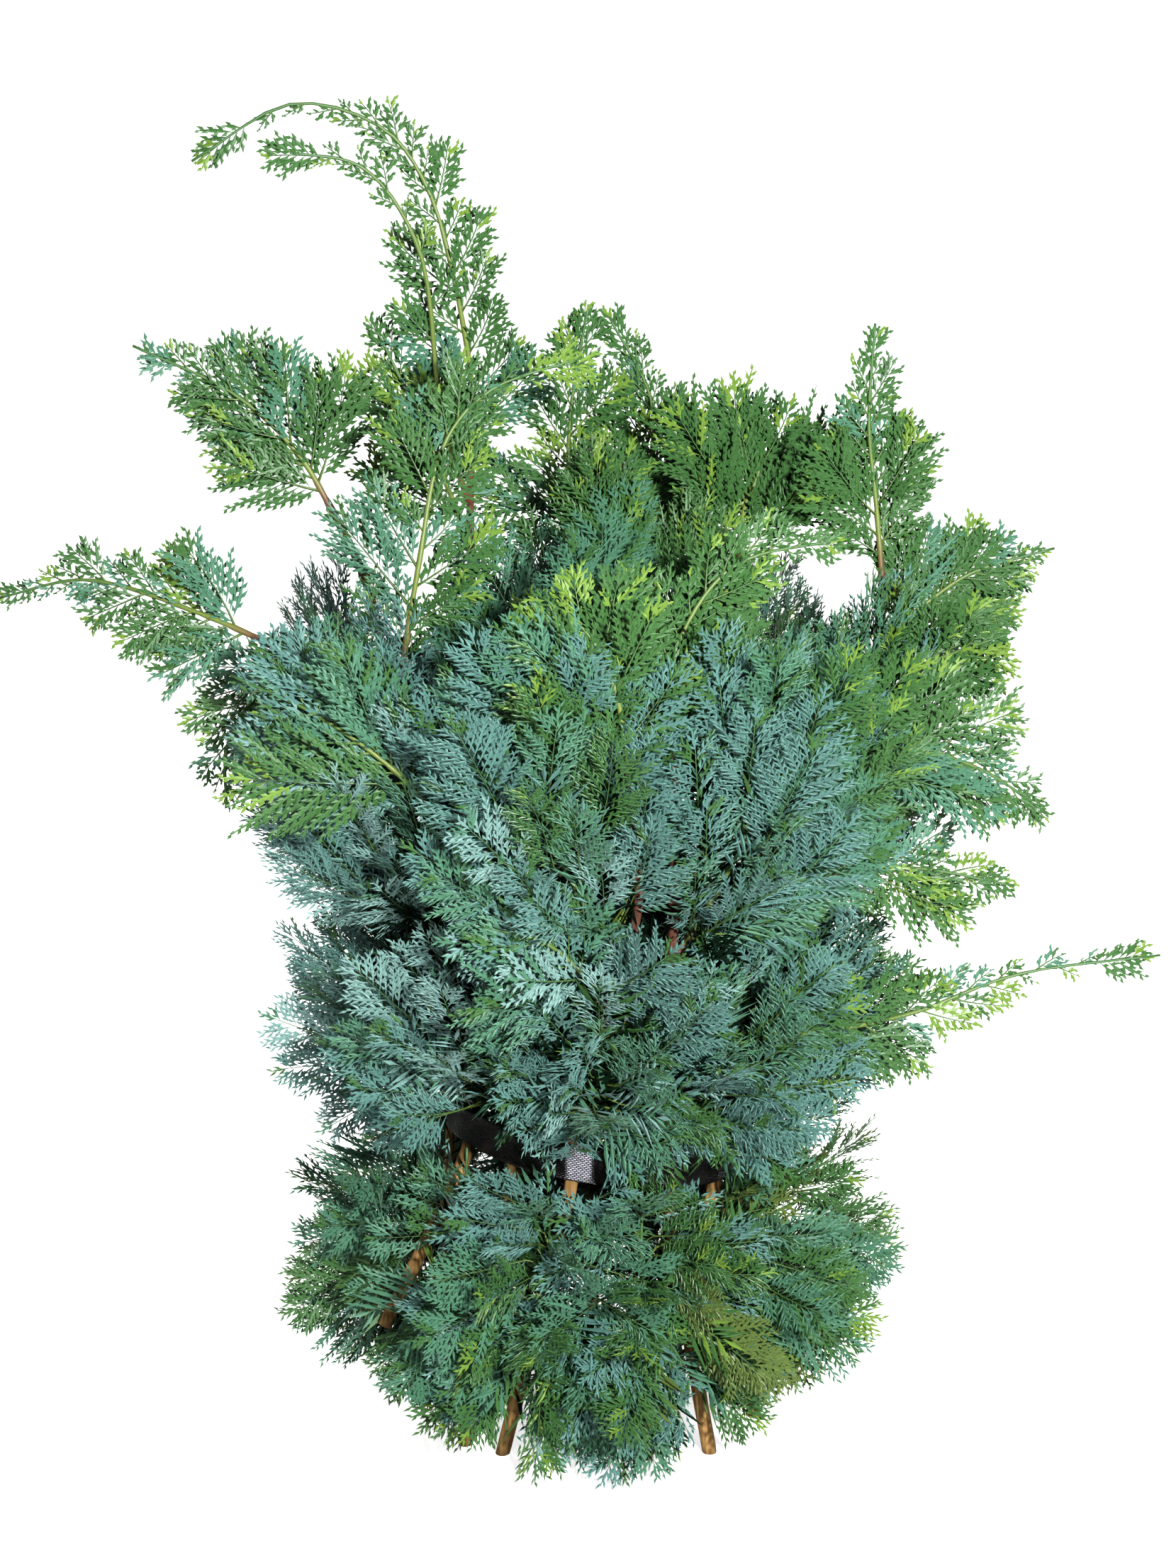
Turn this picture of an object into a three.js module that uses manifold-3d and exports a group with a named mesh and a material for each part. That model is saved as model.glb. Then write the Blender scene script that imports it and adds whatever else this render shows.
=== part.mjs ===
// A standing sheaf of cut Wisselii Lawson cypress branches, tied round its waist with a woven strap.
// It stands on the splayed cut ends of its stems: a skirt of sprays below the strap, a crown above it.
// Millimetres, +Z up, and the front faces -Y. The origin is the flat cut under the middle stem.
// A turn is in degrees about +Z from +X towards +Y, so 270 is the front.
import * as THREE from "three";
import { mergeVertices } from "three/addons/utils/BufferGeometryUtils.js";
import Module from "manifold-3d";

const wasm = await Module();
wasm.setup();

// Driving dimensions
const CLEAR = 0.3; // gap between pieces that touch
const WAIST = { height: 193, lean: 9 }; // the strap's middle, and its fall from left to right in degrees
const STRAP = { inner: 97, thick: 1.8, width: 22, turns: 30 };
const STEM = { foot: 4.8, waist: 4.3, tip: 2.5, sides: 6, step: 84 }; // radii, and the length of one ring
const FEET = { reach: 112, twist: -14 }; // how far out the outer stems stand, and their turn from the waist
const TIE = 0.6; // the stretch that runs straight through the strap, either way, over the strap's width
const BOUGH = { root: 2.6, tip: 2.1, sides: 6, step: 26 };
const AXIS = { root: 2.4, tip: 0.8, sides: 3, step: 48 }; // the stem of a mass
// The dense middle of a mass: its stretch of the axis, its faces, its roughness and how deep sprays sit in it
const CORE = { from: 0.12, to: 0.82, sides: 6, rings: 4, rough: 0.3, seat: 0.78 };
const THIN = 0.1; // detail thinner than this is smoothed away where pieces join
const GOLDEN = 137.508; // the turn from one spray to the next round an axis
const RING_ARC = 230; // ring masses have their sprays on the outer side only
const FRONT = 40; // how far the flat of a ring mass at the side is turned to the front
const SWAY = 76; // how far the sprays of a flat plume turn out of its plane, in degrees
const OPEN = [54, 26]; // the angle between spray and axis, at the root and at the tip
// How strongly the sprays of a dense mass turn outward, and up above the level height or down below it
const FLOW = { out: 0.25, up: 0.9, level: 215, over: 110 };

// A spray as a share of its length: its half width, thickness and widest place, how far its teeth and notches
// reach and lean, and its forward bend and droop. early and blunt shape its outline.
const SPRAY = { width: 0.3, thick: 0.04, middle: 0.42, early: 0.85, blunt: 0.6, forward: 0.16, droop: 0.06 };
const TEETH = { tooth: 1.2, notch: 0.62, lean: 0.07, steps: 4, small: 62, smallSteps: 3 };
// How full a dense mass is at its root, how much fuller further out and how blunt at its tip, and how full a
// plume is at its root, and its taper
const FULL = { root: 0.66, gain: 0.9, blunt: 0.35, plume: 1.2, taper: 0.8 };
// The last spray: where it starts on the axis, and its length over the axis's
const TIP = { share: 0.86, length: 0.14 };
const VARY = { turn: 0.14, twist: 50, length: 0.5, plume: 0.8 }; // how much the sprays differ from each other
const SINK = 1.2; // how deep a spray's root goes into the axis
const SHORTEST = 12;
const SHRINKS = [1, 0.85, 0.7, 0.55]; // a spray that meets something is tried again at these sizes
const ROOM = 0.35; // the air that a spray keeps round it
const GROUND = 0.6; // sprays stay above this height
const FACE_ON = 0.3; // a spray that points this nearly along its mass's facing takes its flat from the side
const START_NEAR = 8; // a ring's mass may leave a stem this far above or below its ring's height
const SLIVER = 1e-6; // a smaller common volume counts as none

// Colours
const BARK = "#8f7148";
const RED_BARK = "#9a5a3c";
const WEBBING = "#2b2627";
const BLUE = "#5b877e";
const GREEN = "#3f6f4a";
const LIME = "#74a352";

// The outer stems: the turn at the waist, then the places that each passes through in the crown.
// foot gives a stem another turn and reach at its foot, and hung lifts its cut end clear of the ground.
const STEMS = {
  centre: { way: [[2, 10, 320], [6, 34, 440], [4, 56, 548]] },
  back_left: {
    waist: 128,
    way: [[-64, 72, 330], [-76, 62, 470], [-78, 50, 596]],
  },
  left: { waist: 172, way: [[-104, 10, 310], [-122, -2, 430], [-139, -10, 540], [-160, -9, 588]] },
  left_front: {
    waist: 212, foot: [207, 148], hung: 76,
    way: [[-92, -66, 310], [-112, -72, 420], [-124, -66, 505]],
  },
  front_left: { waist: 238, way: [[-50, -96, 280], [-54, -120, 360], [-72, -129, 404], [-92, -134, 427]] },
  front: { waist: 262, foot: [238, 107], way: [[4, -104, 280], [27, -144, 375], [20, -162, 440]] },
  front_right: { waist: 300, foot: [310, 116], way: [[48, -100, 290], [48, -128, 390], [47, -138, 462]] },
  right_front: { waist: 328, foot: [289, 103], way: [[88, -64, 290], [112, -70, 390], [136, -71, 432]] },
  right: { waist: 355, way: [[112, -6, 300], [150, 2, 390], [176, 9, 473], [183, 14, 540]] },
  right_back: { waist: 32, way: [[88, 58, 310], [92, 54, 440], [94, 43, 552]] },
  back: { waist: 80, way: [[18, 98, 310], [24, 118, 420], [22, 128, 520]] },
};

// Boughs that leave a stem, and the places that they pass through
const BOUGHS = {
  far_left: {
    stem: "left_front",
    way: [[-119, -69, 468], [-146, -64, 490], [-172, -57, 503], [-196, -50, 512]],
  },
};

// A mass that grows on from a limb: the limb, the places that its axis passes through up to its tip, the turn
// that its flat side faces, the longest spray, how many sprays, how flat it is and its colour. from is the
// height where it leaves the limb, if not at the limb's tip. A plume has its sprays to the left and right
// only, and core is the radius of a dense middle.
const shoot = (limb, way, face, spray, count, flat, tint, more) => ({
  limb, way, face, spray, count, flat, tint, plume: true, ...more,
});
const SHOOTS = {
  leader_low: shoot("back_left", [[-108, 34, 640], [-136, 24, 702]], 270, 46, 8, 0.5, GREEN, { from: 560 }),
  leader_tip: shoot(
    "back_left",
    [[-74, 38, 645], [-84, 22, 722], [-101, 15, 784], [-126, 10, 818], [-180, 4, 833], [-242, -2, 799]],
    270, 42, 14, 0.4, LIME,
  ),
  leader_arch: shoot(
    "back_left",
    [[-94, 30, 640], [-106, 2, 748], [-138, -8, 795], [-181, -16, 804]],
    270, 28, 9, 0.4, LIME, { from: 584 },
  ),
  upper_left: shoot("left", [[-181, -6, 623], [-219, -4, 659], [-281, -4, 689]], 270, 54, 10, 0.45, GREEN),
  far_left: shoot(
    "far_left", [[-242, -40, 530], [-312, -20, 547], [-369, -5, 534]], 270, 38, 10, 0.45, GREEN,
  ),
  far_left_low: shoot(
    "far_left", [[-200, -58, 486], [-222, -60, 452], [-224, -62, 412]], 262, 36, 6, 0.5, LIME, { from: 504 },
  ),
  front_left: shoot(
    "front_left", [[-121, -140, 457], [-162, -132, 484], [-212, -112, 503]], 256, 70, 11, 0.5, BLUE,
  ),
  centre_left: shoot(
    "left_front",
    [[-104, -72, 560], [-88, -58, 634], [-62, -50, 664], [-6, -42, 684]],
    270, 46, 11, 0.6, GREEN, { from: 470 },
  ),
  top_centre: shoot("centre", [[-14, 62, 602], [-12, 58, 657], [-2, 52, 712]], 270, 50, 9, 0.5, GREEN),
  top_centre_right: shoot(
    "centre", [[34, 72, 590], [38, 66, 650], [11, 58, 704]], 270, 48, 9, 0.5, GREEN, { from: 500 },
  ),
  top_right: shoot("right_back", [[97, 40, 585], [106, 40, 612], [92, 46, 650]], 270, 66, 9, 0.8, GREEN),
  right_leader: shoot("right", [[178, 14, 590], [172, 11, 640], [174, 6, 702]], 270, 46, 9, 0.45, GREEN),
  right_upper: shoot(
    "right", [[212, 24, 526], [241, 28, 545], [294, 34, 560]], 270, 44, 8, 0.45, GREEN, { from: 500 },
  ),
  right_plume: shoot("right", [[206, -16, 492], [256, -26, 514]], 270, 52, 7, 0.6, GREEN, { from: 455 }),
  right_mid: shoot(
    "right_front", [[188, -68, 450], [237, -60, 436], [279, -56, 408]], 276, 54, 9, 0.55, GREEN,
  ),
  right_low_mid: shoot(
    "right_front", [[164, -64, 374], [206, -56, 372], [262, -50, 360]], 278, 50, 8, 0.6, GREEN, { from: 350 },
  ),
  right_low: shoot(
    "right_front",
    [[138, -76, 273], [198, -56, 279], [266, -44, 301], [358, -34, 311]],
    270, 38, 10, 0.45, LIME, { from: 262 },
  ),
  front_centre: shoot("front", [[14, -168, 500], [-2, -166, 535], [-28, -160, 556]], 268, 58, 8, 0.6, LIME),
  front_right: shoot(
    "front_right", [[45, -142, 513], [79, -130, 568], [148, -112, 584]], 275, 54, 10, 0.6, LIME,
  ),
  front_mid: shoot(
    "front", [[-4, -152, 330], [-28, -168, 356], [-62, -172, 366]], 266, 58, 7, 0.7, BLUE, { from: 290 },
  ),
  back_top: shoot(
    "back", [[24, 136, 540], [34, 142, 576]], 90, 52, 8, 0.7, GREEN, { core: 18, plume: false },
  ),
  back_arm: shoot("back", [[-10, 190, 470], [-30, 252, 520]], 30, 62, 9, 0.55, BLUE, { from: 400 }),
};

// Rings of masses round the body: the height where each leaves its stem, the reach and height of its middle
// and its tip, and the turns where the ring has one. wide is the core's width over its depth.
const RINGS = {
  skirt: {
    from: 40, middle: [115, 98], tip: [112, 200], turns: [190, 226, 256, 286, 318, 355, 58, 122],
    spray: 63, count: 9, flat: 0.6, core: 24, wide: 1.4, open: [120, 36], tint: GREEN,
  },
  low: {
    from: 214, middle: [116, 258], tip: [140, 336], turns: [192, 232, 272, 312, 350, 34, 84, 138],
    spray: 60, count: 8, flat: 0.6, core: 30, wide: 1.5, open: [104, 30], tint: BLUE,
  },
  mid: {
    from: 330, middle: [145, 404], tip: [168, 508], turns: [216, 262, 308, 354, 48, 104, 162],
    spray: 78, count: 8, flat: 0.6, core: 36, wide: 1.6, open: [84, 28], tint: BLUE,
  },
};

// The fill round the middle stem, inside the other stems
const HEART = {
  way: [[0, 0, 206], [2, -6, 330], [8, -14, 450], [4, 4, 588]],
  face: 270, spray: 90, count: 11, flat: 1, core: 92, wide: 1, span: [0.5, 0.96], tint: GREEN,
};

const radians = THREE.MathUtils.degToRad;
const spot = (point) => new THREE.Vector3(...point);
const place = (turn, reach, height) =>
  new THREE.Vector3(reach * Math.cos(radians(turn)), reach * Math.sin(radians(turn)), height);
const smooth = (points) => new THREE.CatmullRomCurve3(points, false, "centripetal");

// One repeatable number from 0 to 1 for each seed, step and use
const chance = (seed, step, use) => {
  let mix = Math.imul(seed, 73856093) ^ Math.imul(step + 1, 19349663) ^ Math.imul(use + 1, 83492791);
  mix = Math.imul(mix ^ (mix >>> 15), 2246822519);
  mix = Math.imul(mix ^ (mix >>> 13), 3266489917);
  return ((mix ^ (mix >>> 16)) >>> 0) / 4294967296;
};

// A closed solid from a three.js geometry, with its corners moved by one function
const solid = (geometry, move) => {
  const plain = geometry.clone();
  plain.deleteAttribute("normal");
  plain.deleteAttribute("uv");
  const joined = mergeVertices(plain, 1e-4);
  const corners = joined.attributes.position;
  const corner = new THREE.Vector3();
  for (let index = 0; index < corners.count; index += 1) {
    corner.fromBufferAttribute(corners, index);
    move(corner);
    corners.setXYZ(index, corner.x, corner.y, corner.z);
  }
  const mesh = new wasm.Mesh({
    numProp: 3,
    vertProperties: new Float32Array(corners.array),
    triVerts: new Uint32Array(joined.index.array),
  });
  return new wasm.Manifold(mesh);
};

// The frame of a curve at t: along it, sideways in its flat, and out of its flat towards facing
const frameAt = (curve, facing, t) => {
  const along = curve.getTangent(t);
  const side = new THREE.Vector3().crossVectors(facing, along).normalize();
  return { point: curve.getPoint(t), along, side, out: new THREE.Vector3().crossVectors(along, side) };
};

// A rod along a curve, with a ring at each of the curve's points and about every step between them.
// radiusAt gives its radius; grow makes it larger all round; flat levels its first ring on the ground.
const rod = (curve, facing, radiusAt, { sides, step }, { grow = 0, flat = false } = {}) => {
  const spans = curve.points.length - 1;
  const stops = [0];
  for (let span = 0; span < spans; span += 1) {
    const cuts = Math.max(1, Math.round(curve.points[span].distanceTo(curve.points[span + 1]) / step));
    for (let cut = 1; cut <= cuts; cut += 1) stops.push((span + cut / cuts) / spans);
  }
  const rings = stops.length - 1;
  return solid(new THREE.CylinderGeometry(1, 1, 1, sides, rings), (corner) => {
    const ring = Math.round((corner.y + 0.5) * rings);
    const { point, along, side, out } = frameAt(curve, facing, stops[ring]);
    const radius = radiusAt(stops[ring], point) + grow / Math.cos(Math.PI / sides);
    const { x, z } = corner;
    corner.copy(point).addScaledVector(side, -x * radius).addScaledVector(out, z * radius);
    if (ring === 0 && flat) corner.z = 0;
    if (ring === 0) corner.addScaledVector(along, -grow);
    if (ring === rings) corner.addScaledVector(along, grow);
  });
};
const taper = (root, tip) => (t) => THREE.MathUtils.lerp(root, tip, t);

const strap = (grow = 0) => {
  const half = STRAP.width / 2 + grow;
  const inner = STRAP.inner - grow;
  const outer = STRAP.inner + STRAP.thick + grow;
  const band = [[inner, -half], [outer, -half], [outer, half], [inner, half], [inner, -half]];
  const profile = band.map(([radius, height]) => new THREE.Vector2(radius, height));
  const fall = Math.tan(radians(WAIST.lean));
  return solid(new THREE.LatheGeometry(profile, STRAP.turns), (corner) => {
    corner.set(corner.x, -corner.z, corner.y);
    corner.z += WAIST.height - fall * corner.x;
  });
};

const group = new THREE.Group();
const taken = []; // every finished piece, with its node's name and its box

const takes = (owner, piece, leaf = false) => {
  const { min, max } = piece.boundingBox();
  taken.push({ owner, piece, min, max, leaf });
};

const near = (piece, other) => {
  const { min, max } = piece.boundingBox();
  return [0, 1, 2].every((side) => min[side] <= other.max[side] && max[side] >= other.min[side]);
};

const meets = (piece, other) => near(piece, other) && piece.intersect(other.piece).volume() > SLIVER;
const blocked = (owner, piece) =>
  taken.some((other) => (other.leaf || other.owner !== owner) && meets(piece, other));

// The largest single piece of a solid, with any sealed hollow filled
const largest = (piece) => {
  const parts = piece.decompose().filter((part) => part.volume() > 0);
  return parts.sort((one, two) => two.volume() - one.volume())[0];
};

const show = (name, piece, color, roughness) => {
  const { vertProperties, triVerts } = piece.getMesh();
  const geometry = new THREE.BufferGeometry();
  geometry.setAttribute("position", new THREE.BufferAttribute(new Float32Array(vertProperties), 3));
  geometry.setIndex(new THREE.BufferAttribute(new Uint32Array(triVerts), 1));
  geometry.computeVertexNormals();
  const material = new THREE.MeshStandardMaterial({ color, roughness, metalness: 0, flatShading: true });
  const mesh = new THREE.Mesh(geometry, material);
  mesh.name = name;
  group.add(mesh);
};

// Stems and boughs
const limbs = {};
const atHeight = (curve, height) => {
  const steps = 120;
  const off = (point) => Math.abs(point.z - height);
  return curve.getPoints(steps).reduce((best, point) => (off(point) < off(best) ? point : best));
};
const UP = new THREE.Vector3(0, 0, 1);
const BACK = new THREE.Vector3(0, 1, 0);
const stemRadius = (top) => (t, { z }) => {
  const below = THREE.MathUtils.mapLinear(z, 0, WAIST.height, STEM.foot, STEM.waist);
  const above = THREE.MathUtils.mapLinear(z, WAIST.height, top, STEM.waist, STEM.tip);
  return z < WAIST.height ? below : above;
};

// The stems run straight up through the strap, against its inner face
const waistReach = STRAP.inner * Math.cos(Math.PI / STRAP.turns) - CLEAR - STEM.waist;
const tiesAt = (turn) => {
  const middle = place(turn, waistReach, WAIST.height);
  middle.z -= Math.tan(radians(WAIST.lean)) * middle.x;
  return [-TIE, TIE].map((share) => middle.clone().setZ(middle.z + share * STRAP.width));
};
for (const [name, { waist, foot, hung = 0, way }] of Object.entries(STEMS)) {
  const [footTurn, footReach] = foot ?? [waist + FEET.twist, FEET.reach];
  const ground = waist === undefined ? new THREE.Vector3() : place(footTurn, footReach, hung);
  const ties = waist === undefined ? [new THREE.Vector3(0, 0, WAIST.height)] : tiesAt(waist);
  const curve = smooth([ground, ...ties, ...way.map(spot)]);
  const flat = hung === 0;
  const radiusAt = stemRadius(way.at(-1)[2]);
  const facing = waist === undefined ? BACK : place(waist, 1, 0);
  const piece = rod(curve, facing, radiusAt, STEM, { flat });
  limbs[name] = { curve, grown: rod(curve, facing, radiusAt, STEM, { flat, grow: CLEAR }) };
  takes(`stem_${name}`, piece);
  show(`stem_${name}`, piece, BARK, 0.9);
}
const band = strap();
takes("strap", band);
show("strap", band, WEBBING, 0.45);
for (const [name, { stem, way }] of Object.entries(BOUGHS)) {
  const curve = smooth(way.map(spot));
  const radiusAt = taper(BOUGH.root, BOUGH.tip);
  const piece = largest(rod(curve, UP, radiusAt, BOUGH).subtract(limbs[stem].grown));
  limbs[name] = { curve, grown: rod(curve, UP, radiusAt, BOUGH, { grow: CLEAR }) };
  takes(`bough_${name}`, piece);
  show(`bough_${name}`, piece, RED_BARK, 0.85);
}
const clearOf = [...Object.values(limbs).map(({ grown }) => grown), strap(CLEAR)];

const PLAIN = { core: 0, wide: 1.3, arc: 360, span: [0.1, 0.88], open: OPEN };

// Masses: the shoots as listed, and the rings worked out from their turns
const masses = Object.entries(SHOOTS).map(([name, shoot], index) => {
  const { curve } = limbs[shoot.limb];
  const start = shoot.from === undefined ? curve.getPoint(1) : atHeight(curve, shoot.from);
  return { ...PLAIN, ...shoot, name, seed: 11 + index, points: [start, ...shoot.way.map(spot)] };
});
masses.push({ ...PLAIN, ...HEART, name: "heart", seed: 5, points: HEART.way.map(spot) });
for (const [ring, layout] of Object.entries(RINGS)) {
  layout.turns.forEach((turn, index) => {
    const middle = place(turn, ...layout.middle);
    const starts = Object.keys(STEMS)
      .filter((name) => name !== "centre")
      .map((name) => atHeight(limbs[name].curve, layout.from))
      .filter((point) => Math.abs(point.z - layout.from) < START_NEAR);
    starts.sort((one, two) => one.distanceTo(middle) - two.distanceTo(middle));
    const points = [starts[0], middle, place(turn, ...layout.tip)];
    const name = `${ring}_${index + 1}`;
    const face = turn - FRONT * Math.cos(radians(turn));
    masses.push({ ...PLAIN, ...layout, arc: RING_ARC, name, seed: 73 + masses.length, face, points });
  });
}

const axisRadius = taper(AXIS.root, AXIS.tip);
for (const mass of masses) {
  mass.curve = smooth(mass.points);
  mass.facing = place(mass.face, 1, 0.1).normalize();
  mass.node = `foliage_${mass.name}`;
  let axis = rod(mass.curve, mass.facing, axisRadius, AXIS);
  for (const limb of clearOf) axis = axis.subtract(limb);
  axis = largest(axis);
  takes(mass.node, axis);
  mass.solids = [axis];
  mass.grownAxis = rod(mass.curve, mass.facing, axisRadius, AXIS, { grow: CLEAR });
}

// Dense masses have a core, smaller than the mass and cut clear of the limbs and of the other cores
const coreOf = (mass, grow) => solid(new THREE.SphereGeometry(1, CORE.sides, CORE.rings), (corner) => {
  const { x, y, z } = corner;
  const t = THREE.MathUtils.lerp(CORE.from, CORE.to, (y + 1) / 2);
  const { point, side, out } = frameAt(mass.curve, mass.facing, t);
  const [wide, high, deep] = [x, y, z].map((value) => Math.round(CORE.sides * (value + 1)));
  const ragged = 1 + CORE.rough * (chance(mass.seed, wide + 3 * CORE.sides * high, deep) - 0.5);
  const radius = mass.core * ragged;
  corner.copy(point);
  corner.addScaledVector(side, -x * (radius * mass.wide + grow)).addScaledVector(out, z * (radius + grow));
  corner.z += y * grow;
});
const others = (mass) => masses.filter((other) => other !== mass).map(({ grownAxis }) => grownAxis);
const grownCores = [];
for (const mass of masses.filter(({ core }) => core > 0)) {
  let core = coreOf(mass, 0);
  for (const piece of [...clearOf, ...others(mass), ...grownCores]) core = core.subtract(piece);
  core = largest(core);
  grownCores.push(coreOf(mass, CLEAR));
  takes(mass.node, core);
  mass.solids.push(core);
}

// A toothed blade that stands for one flat spray: pointed, widest near its middle, curved forward, drooping
const blade = ({ root, aim, across, length, bend }, grow) => {
  const steps = length < TEETH.small ? TEETH.smallSteps : TEETH.steps;
  const corners = 2 * steps;
  const face = new THREE.Vector3().crossVectors(aim, across);
  const spread = 1 + grow / (SPRAY.width * length);
  const outline = (share) => SPRAY.width * Math.sin(Math.PI * share ** SPRAY.early) ** SPRAY.blunt;
  return solid(new THREE.SphereGeometry(1, corners, 2), (corner) => {
    const turn = Math.round((Math.atan2(corner.z, -corner.x) / (2 * Math.PI)) * corners);
    const step = Math.abs(turn);
    const tooth = step % 2 === 1;
    const pole = Math.abs(corner.y) > 0.5;
    const inner = step > 0 && step < steps;
    let share = 1 - step / steps + (tooth && inner ? TEETH.lean : 0);
    let wide = inner ? outline(share) * (tooth ? TEETH.tooth : TEETH.notch) : 0;
    if (pole) {
      share = SPRAY.middle;
      wide = 0;
    }
    const reach = SPRAY.middle + (share - SPRAY.middle) * spread;
    const lift = pole ? Math.sign(corner.y) * (SPRAY.thick * 0.5 * length + grow) : 0;
    corner.copy(root);
    corner.addScaledVector(aim, reach * length - SINK);
    corner.addScaledVector(across, Math.sign(turn) * wide * spread * length);
    corner.addScaledVector(face, lift);
    corner.addScaledVector(bend, reach * reach * length);
  });
};

// How long a spray is for its place on the axis, over the mass's longest: tapering to the tip on a plume
const fullness = (mass, share) => {
  if (mass.plume) return FULL.plume * (1 - share) ** FULL.taper;
  return (1 - share) ** FULL.blunt * (FULL.root + FULL.gain * share);
};

// How a spray of a dense mass turns at its root: outward, and up above the level height or down below it
const flowAt = ({ x, y, z }) => {
  const rise = THREE.MathUtils.clamp((z - FLOW.level) / FLOW.over, -1, 1);
  return new THREE.Vector3(x, y, 0).setLength(FLOW.out).add(new THREE.Vector3(0, 0, rise * FLOW.up));
};

// The turn of spray number k round its axis: left and right in turn on a plume, else a golden turn on from
// the last
const rollOf = (mass, k) => {
  const luck = chance(mass.seed, k, 0);
  if (mass.plume) return radians(180 * (k % 2) + SWAY * (luck - 0.5));
  return radians(90 + mass.arc * (((k * GOLDEN) / 360 + VARY.turn * luck) % 1 - 0.5));
};

// The seeded rule: where spray number k of a mass grows, which way it points, and how long it is
const sprayOf = (mass, k) => {
  const tip = k === mass.count;
  const share = tip ? TIP.share : THREE.MathUtils.lerp(...mass.span, (k + 0.5) / mass.count);
  const { point, along, side, out } = frameAt(mass.curve, mass.facing, share);
  const roll = rollOf(mass, k);
  const open = tip ? 0 : radians(THREE.MathUtils.lerp(...mass.open, share));
  const aim = along.clone().multiplyScalar(Math.cos(open));
  aim.addScaledVector(side, Math.cos(roll) * Math.sin(open));
  aim.addScaledVector(out, Math.sin(roll) * Math.sin(open) * mass.flat);
  aim.normalize();

  const inCore = 2 * THREE.MathUtils.inverseLerp(CORE.from, CORE.to, share) - 1;
  const lift = tip ? 0 : CORE.seat * mass.core * Math.sqrt(Math.max(0, 1 - inCore * inCore));
  point.addScaledVector(side, Math.cos(roll) * lift * mass.wide).addScaledVector(out, Math.sin(roll) * lift);
  if (!mass.plume && !tip) aim.add(flowAt(point)).normalize();

  const across = new THREE.Vector3().crossVectors(mass.facing, aim);
  if (across.length() < FACE_ON) across.copy(side);
  across.addScaledVector(aim, -across.dot(aim)).normalize();
  across.applyAxisAngle(aim, radians(VARY.twist * (chance(mass.seed, k, 1) - 0.5)));

  const bend = along.clone().multiplyScalar(tip ? 0 : SPRAY.forward);
  bend.z -= SPRAY.droop;
  const size = 1 + (mass.plume ? VARY.plume : VARY.length) * (chance(mass.seed, k, 2) - 0.5);
  const length = tip ? TIP.length * mass.curve.getLength() + SINK : mass.spray * fullness(mass, share) * size;
  return { root: point, aim, across, length: Math.max(length, SHORTEST), bend };
};

// The sprays, tips first. One that meets the ground, a limb or another spray is tried shorter, then left out.
const most = Math.max(...masses.map(({ count }) => count));
for (let k = most; k >= 0; k -= 1) {
  for (const mass of masses.filter(({ count }) => k <= count)) {
    const spray = sprayOf(mass, k);
    const sizes = SHRINKS.map((shrink) => ({ ...spray, length: spray.length * shrink }));
    const fits = sizes.find((sized) => {
      const grown = blade(sized, ROOM);
      return grown.boundingBox().min[2] >= GROUND && !blocked(mass.node, grown);
    });
    if (!fits) continue;
    const leaf = blade(fits, 0);
    takes(mass.node, leaf, true);
    mass.solids.push(leaf);
  }
}

// Whether a solid stays closed when corners within a thousandth of a millimetre are joined
const closes = (piece) => {
  const { vertProperties, triVerts } = piece.getMesh();
  const seen = new Map();
  const ids = Array.from(triVerts, (corner) => {
    const [x, y, z] = vertProperties.slice(3 * corner, 3 * corner + 3);
    const key = [x, y, z].map((value) => Math.round(value * 1000)).join();
    if (!seen.has(key)) seen.set(key, corner);
    return seen.get(key);
  });
  const edges = new Map();
  for (let index = 0; index < ids.length; index += 3) {
    const corners = ids.slice(index, index + 3);
    if (new Set(corners).size < 3) continue;
    for (const [one, two] of [[0, 1], [1, 2], [2, 0]]) {
      const key = [corners[one], corners[two]].sort((low, high) => low - high).join();
      edges.set(key, (edges.get(key) ?? 0) + 1);
    }
  }
  return [...edges.values()].every((count) => count === 2);
};

// A mass is its axis, its core and its sprays joined into one; a spray that would leave it open is left out
const join = ([first, ...rest]) => rest.reduce((whole, piece) => {
  const more = largest(whole.add(piece)).simplify(THIN);
  return closes(more) ? more : whole;
}, first);

for (const mass of masses) show(mass.node, join(mass.solids), mass.tint, 0.8);

export default group;
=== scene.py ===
"""A standing sheaf of cut Wisselii Lawson cypress branches, tied round its waist with a woven strap.

Places are in millimetres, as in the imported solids, and turn to metres where a mesh is made.
The front faces -Y, and a turn is in degrees about +Z from +X towards +Y, so 270 is the front.
"""

import math

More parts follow.
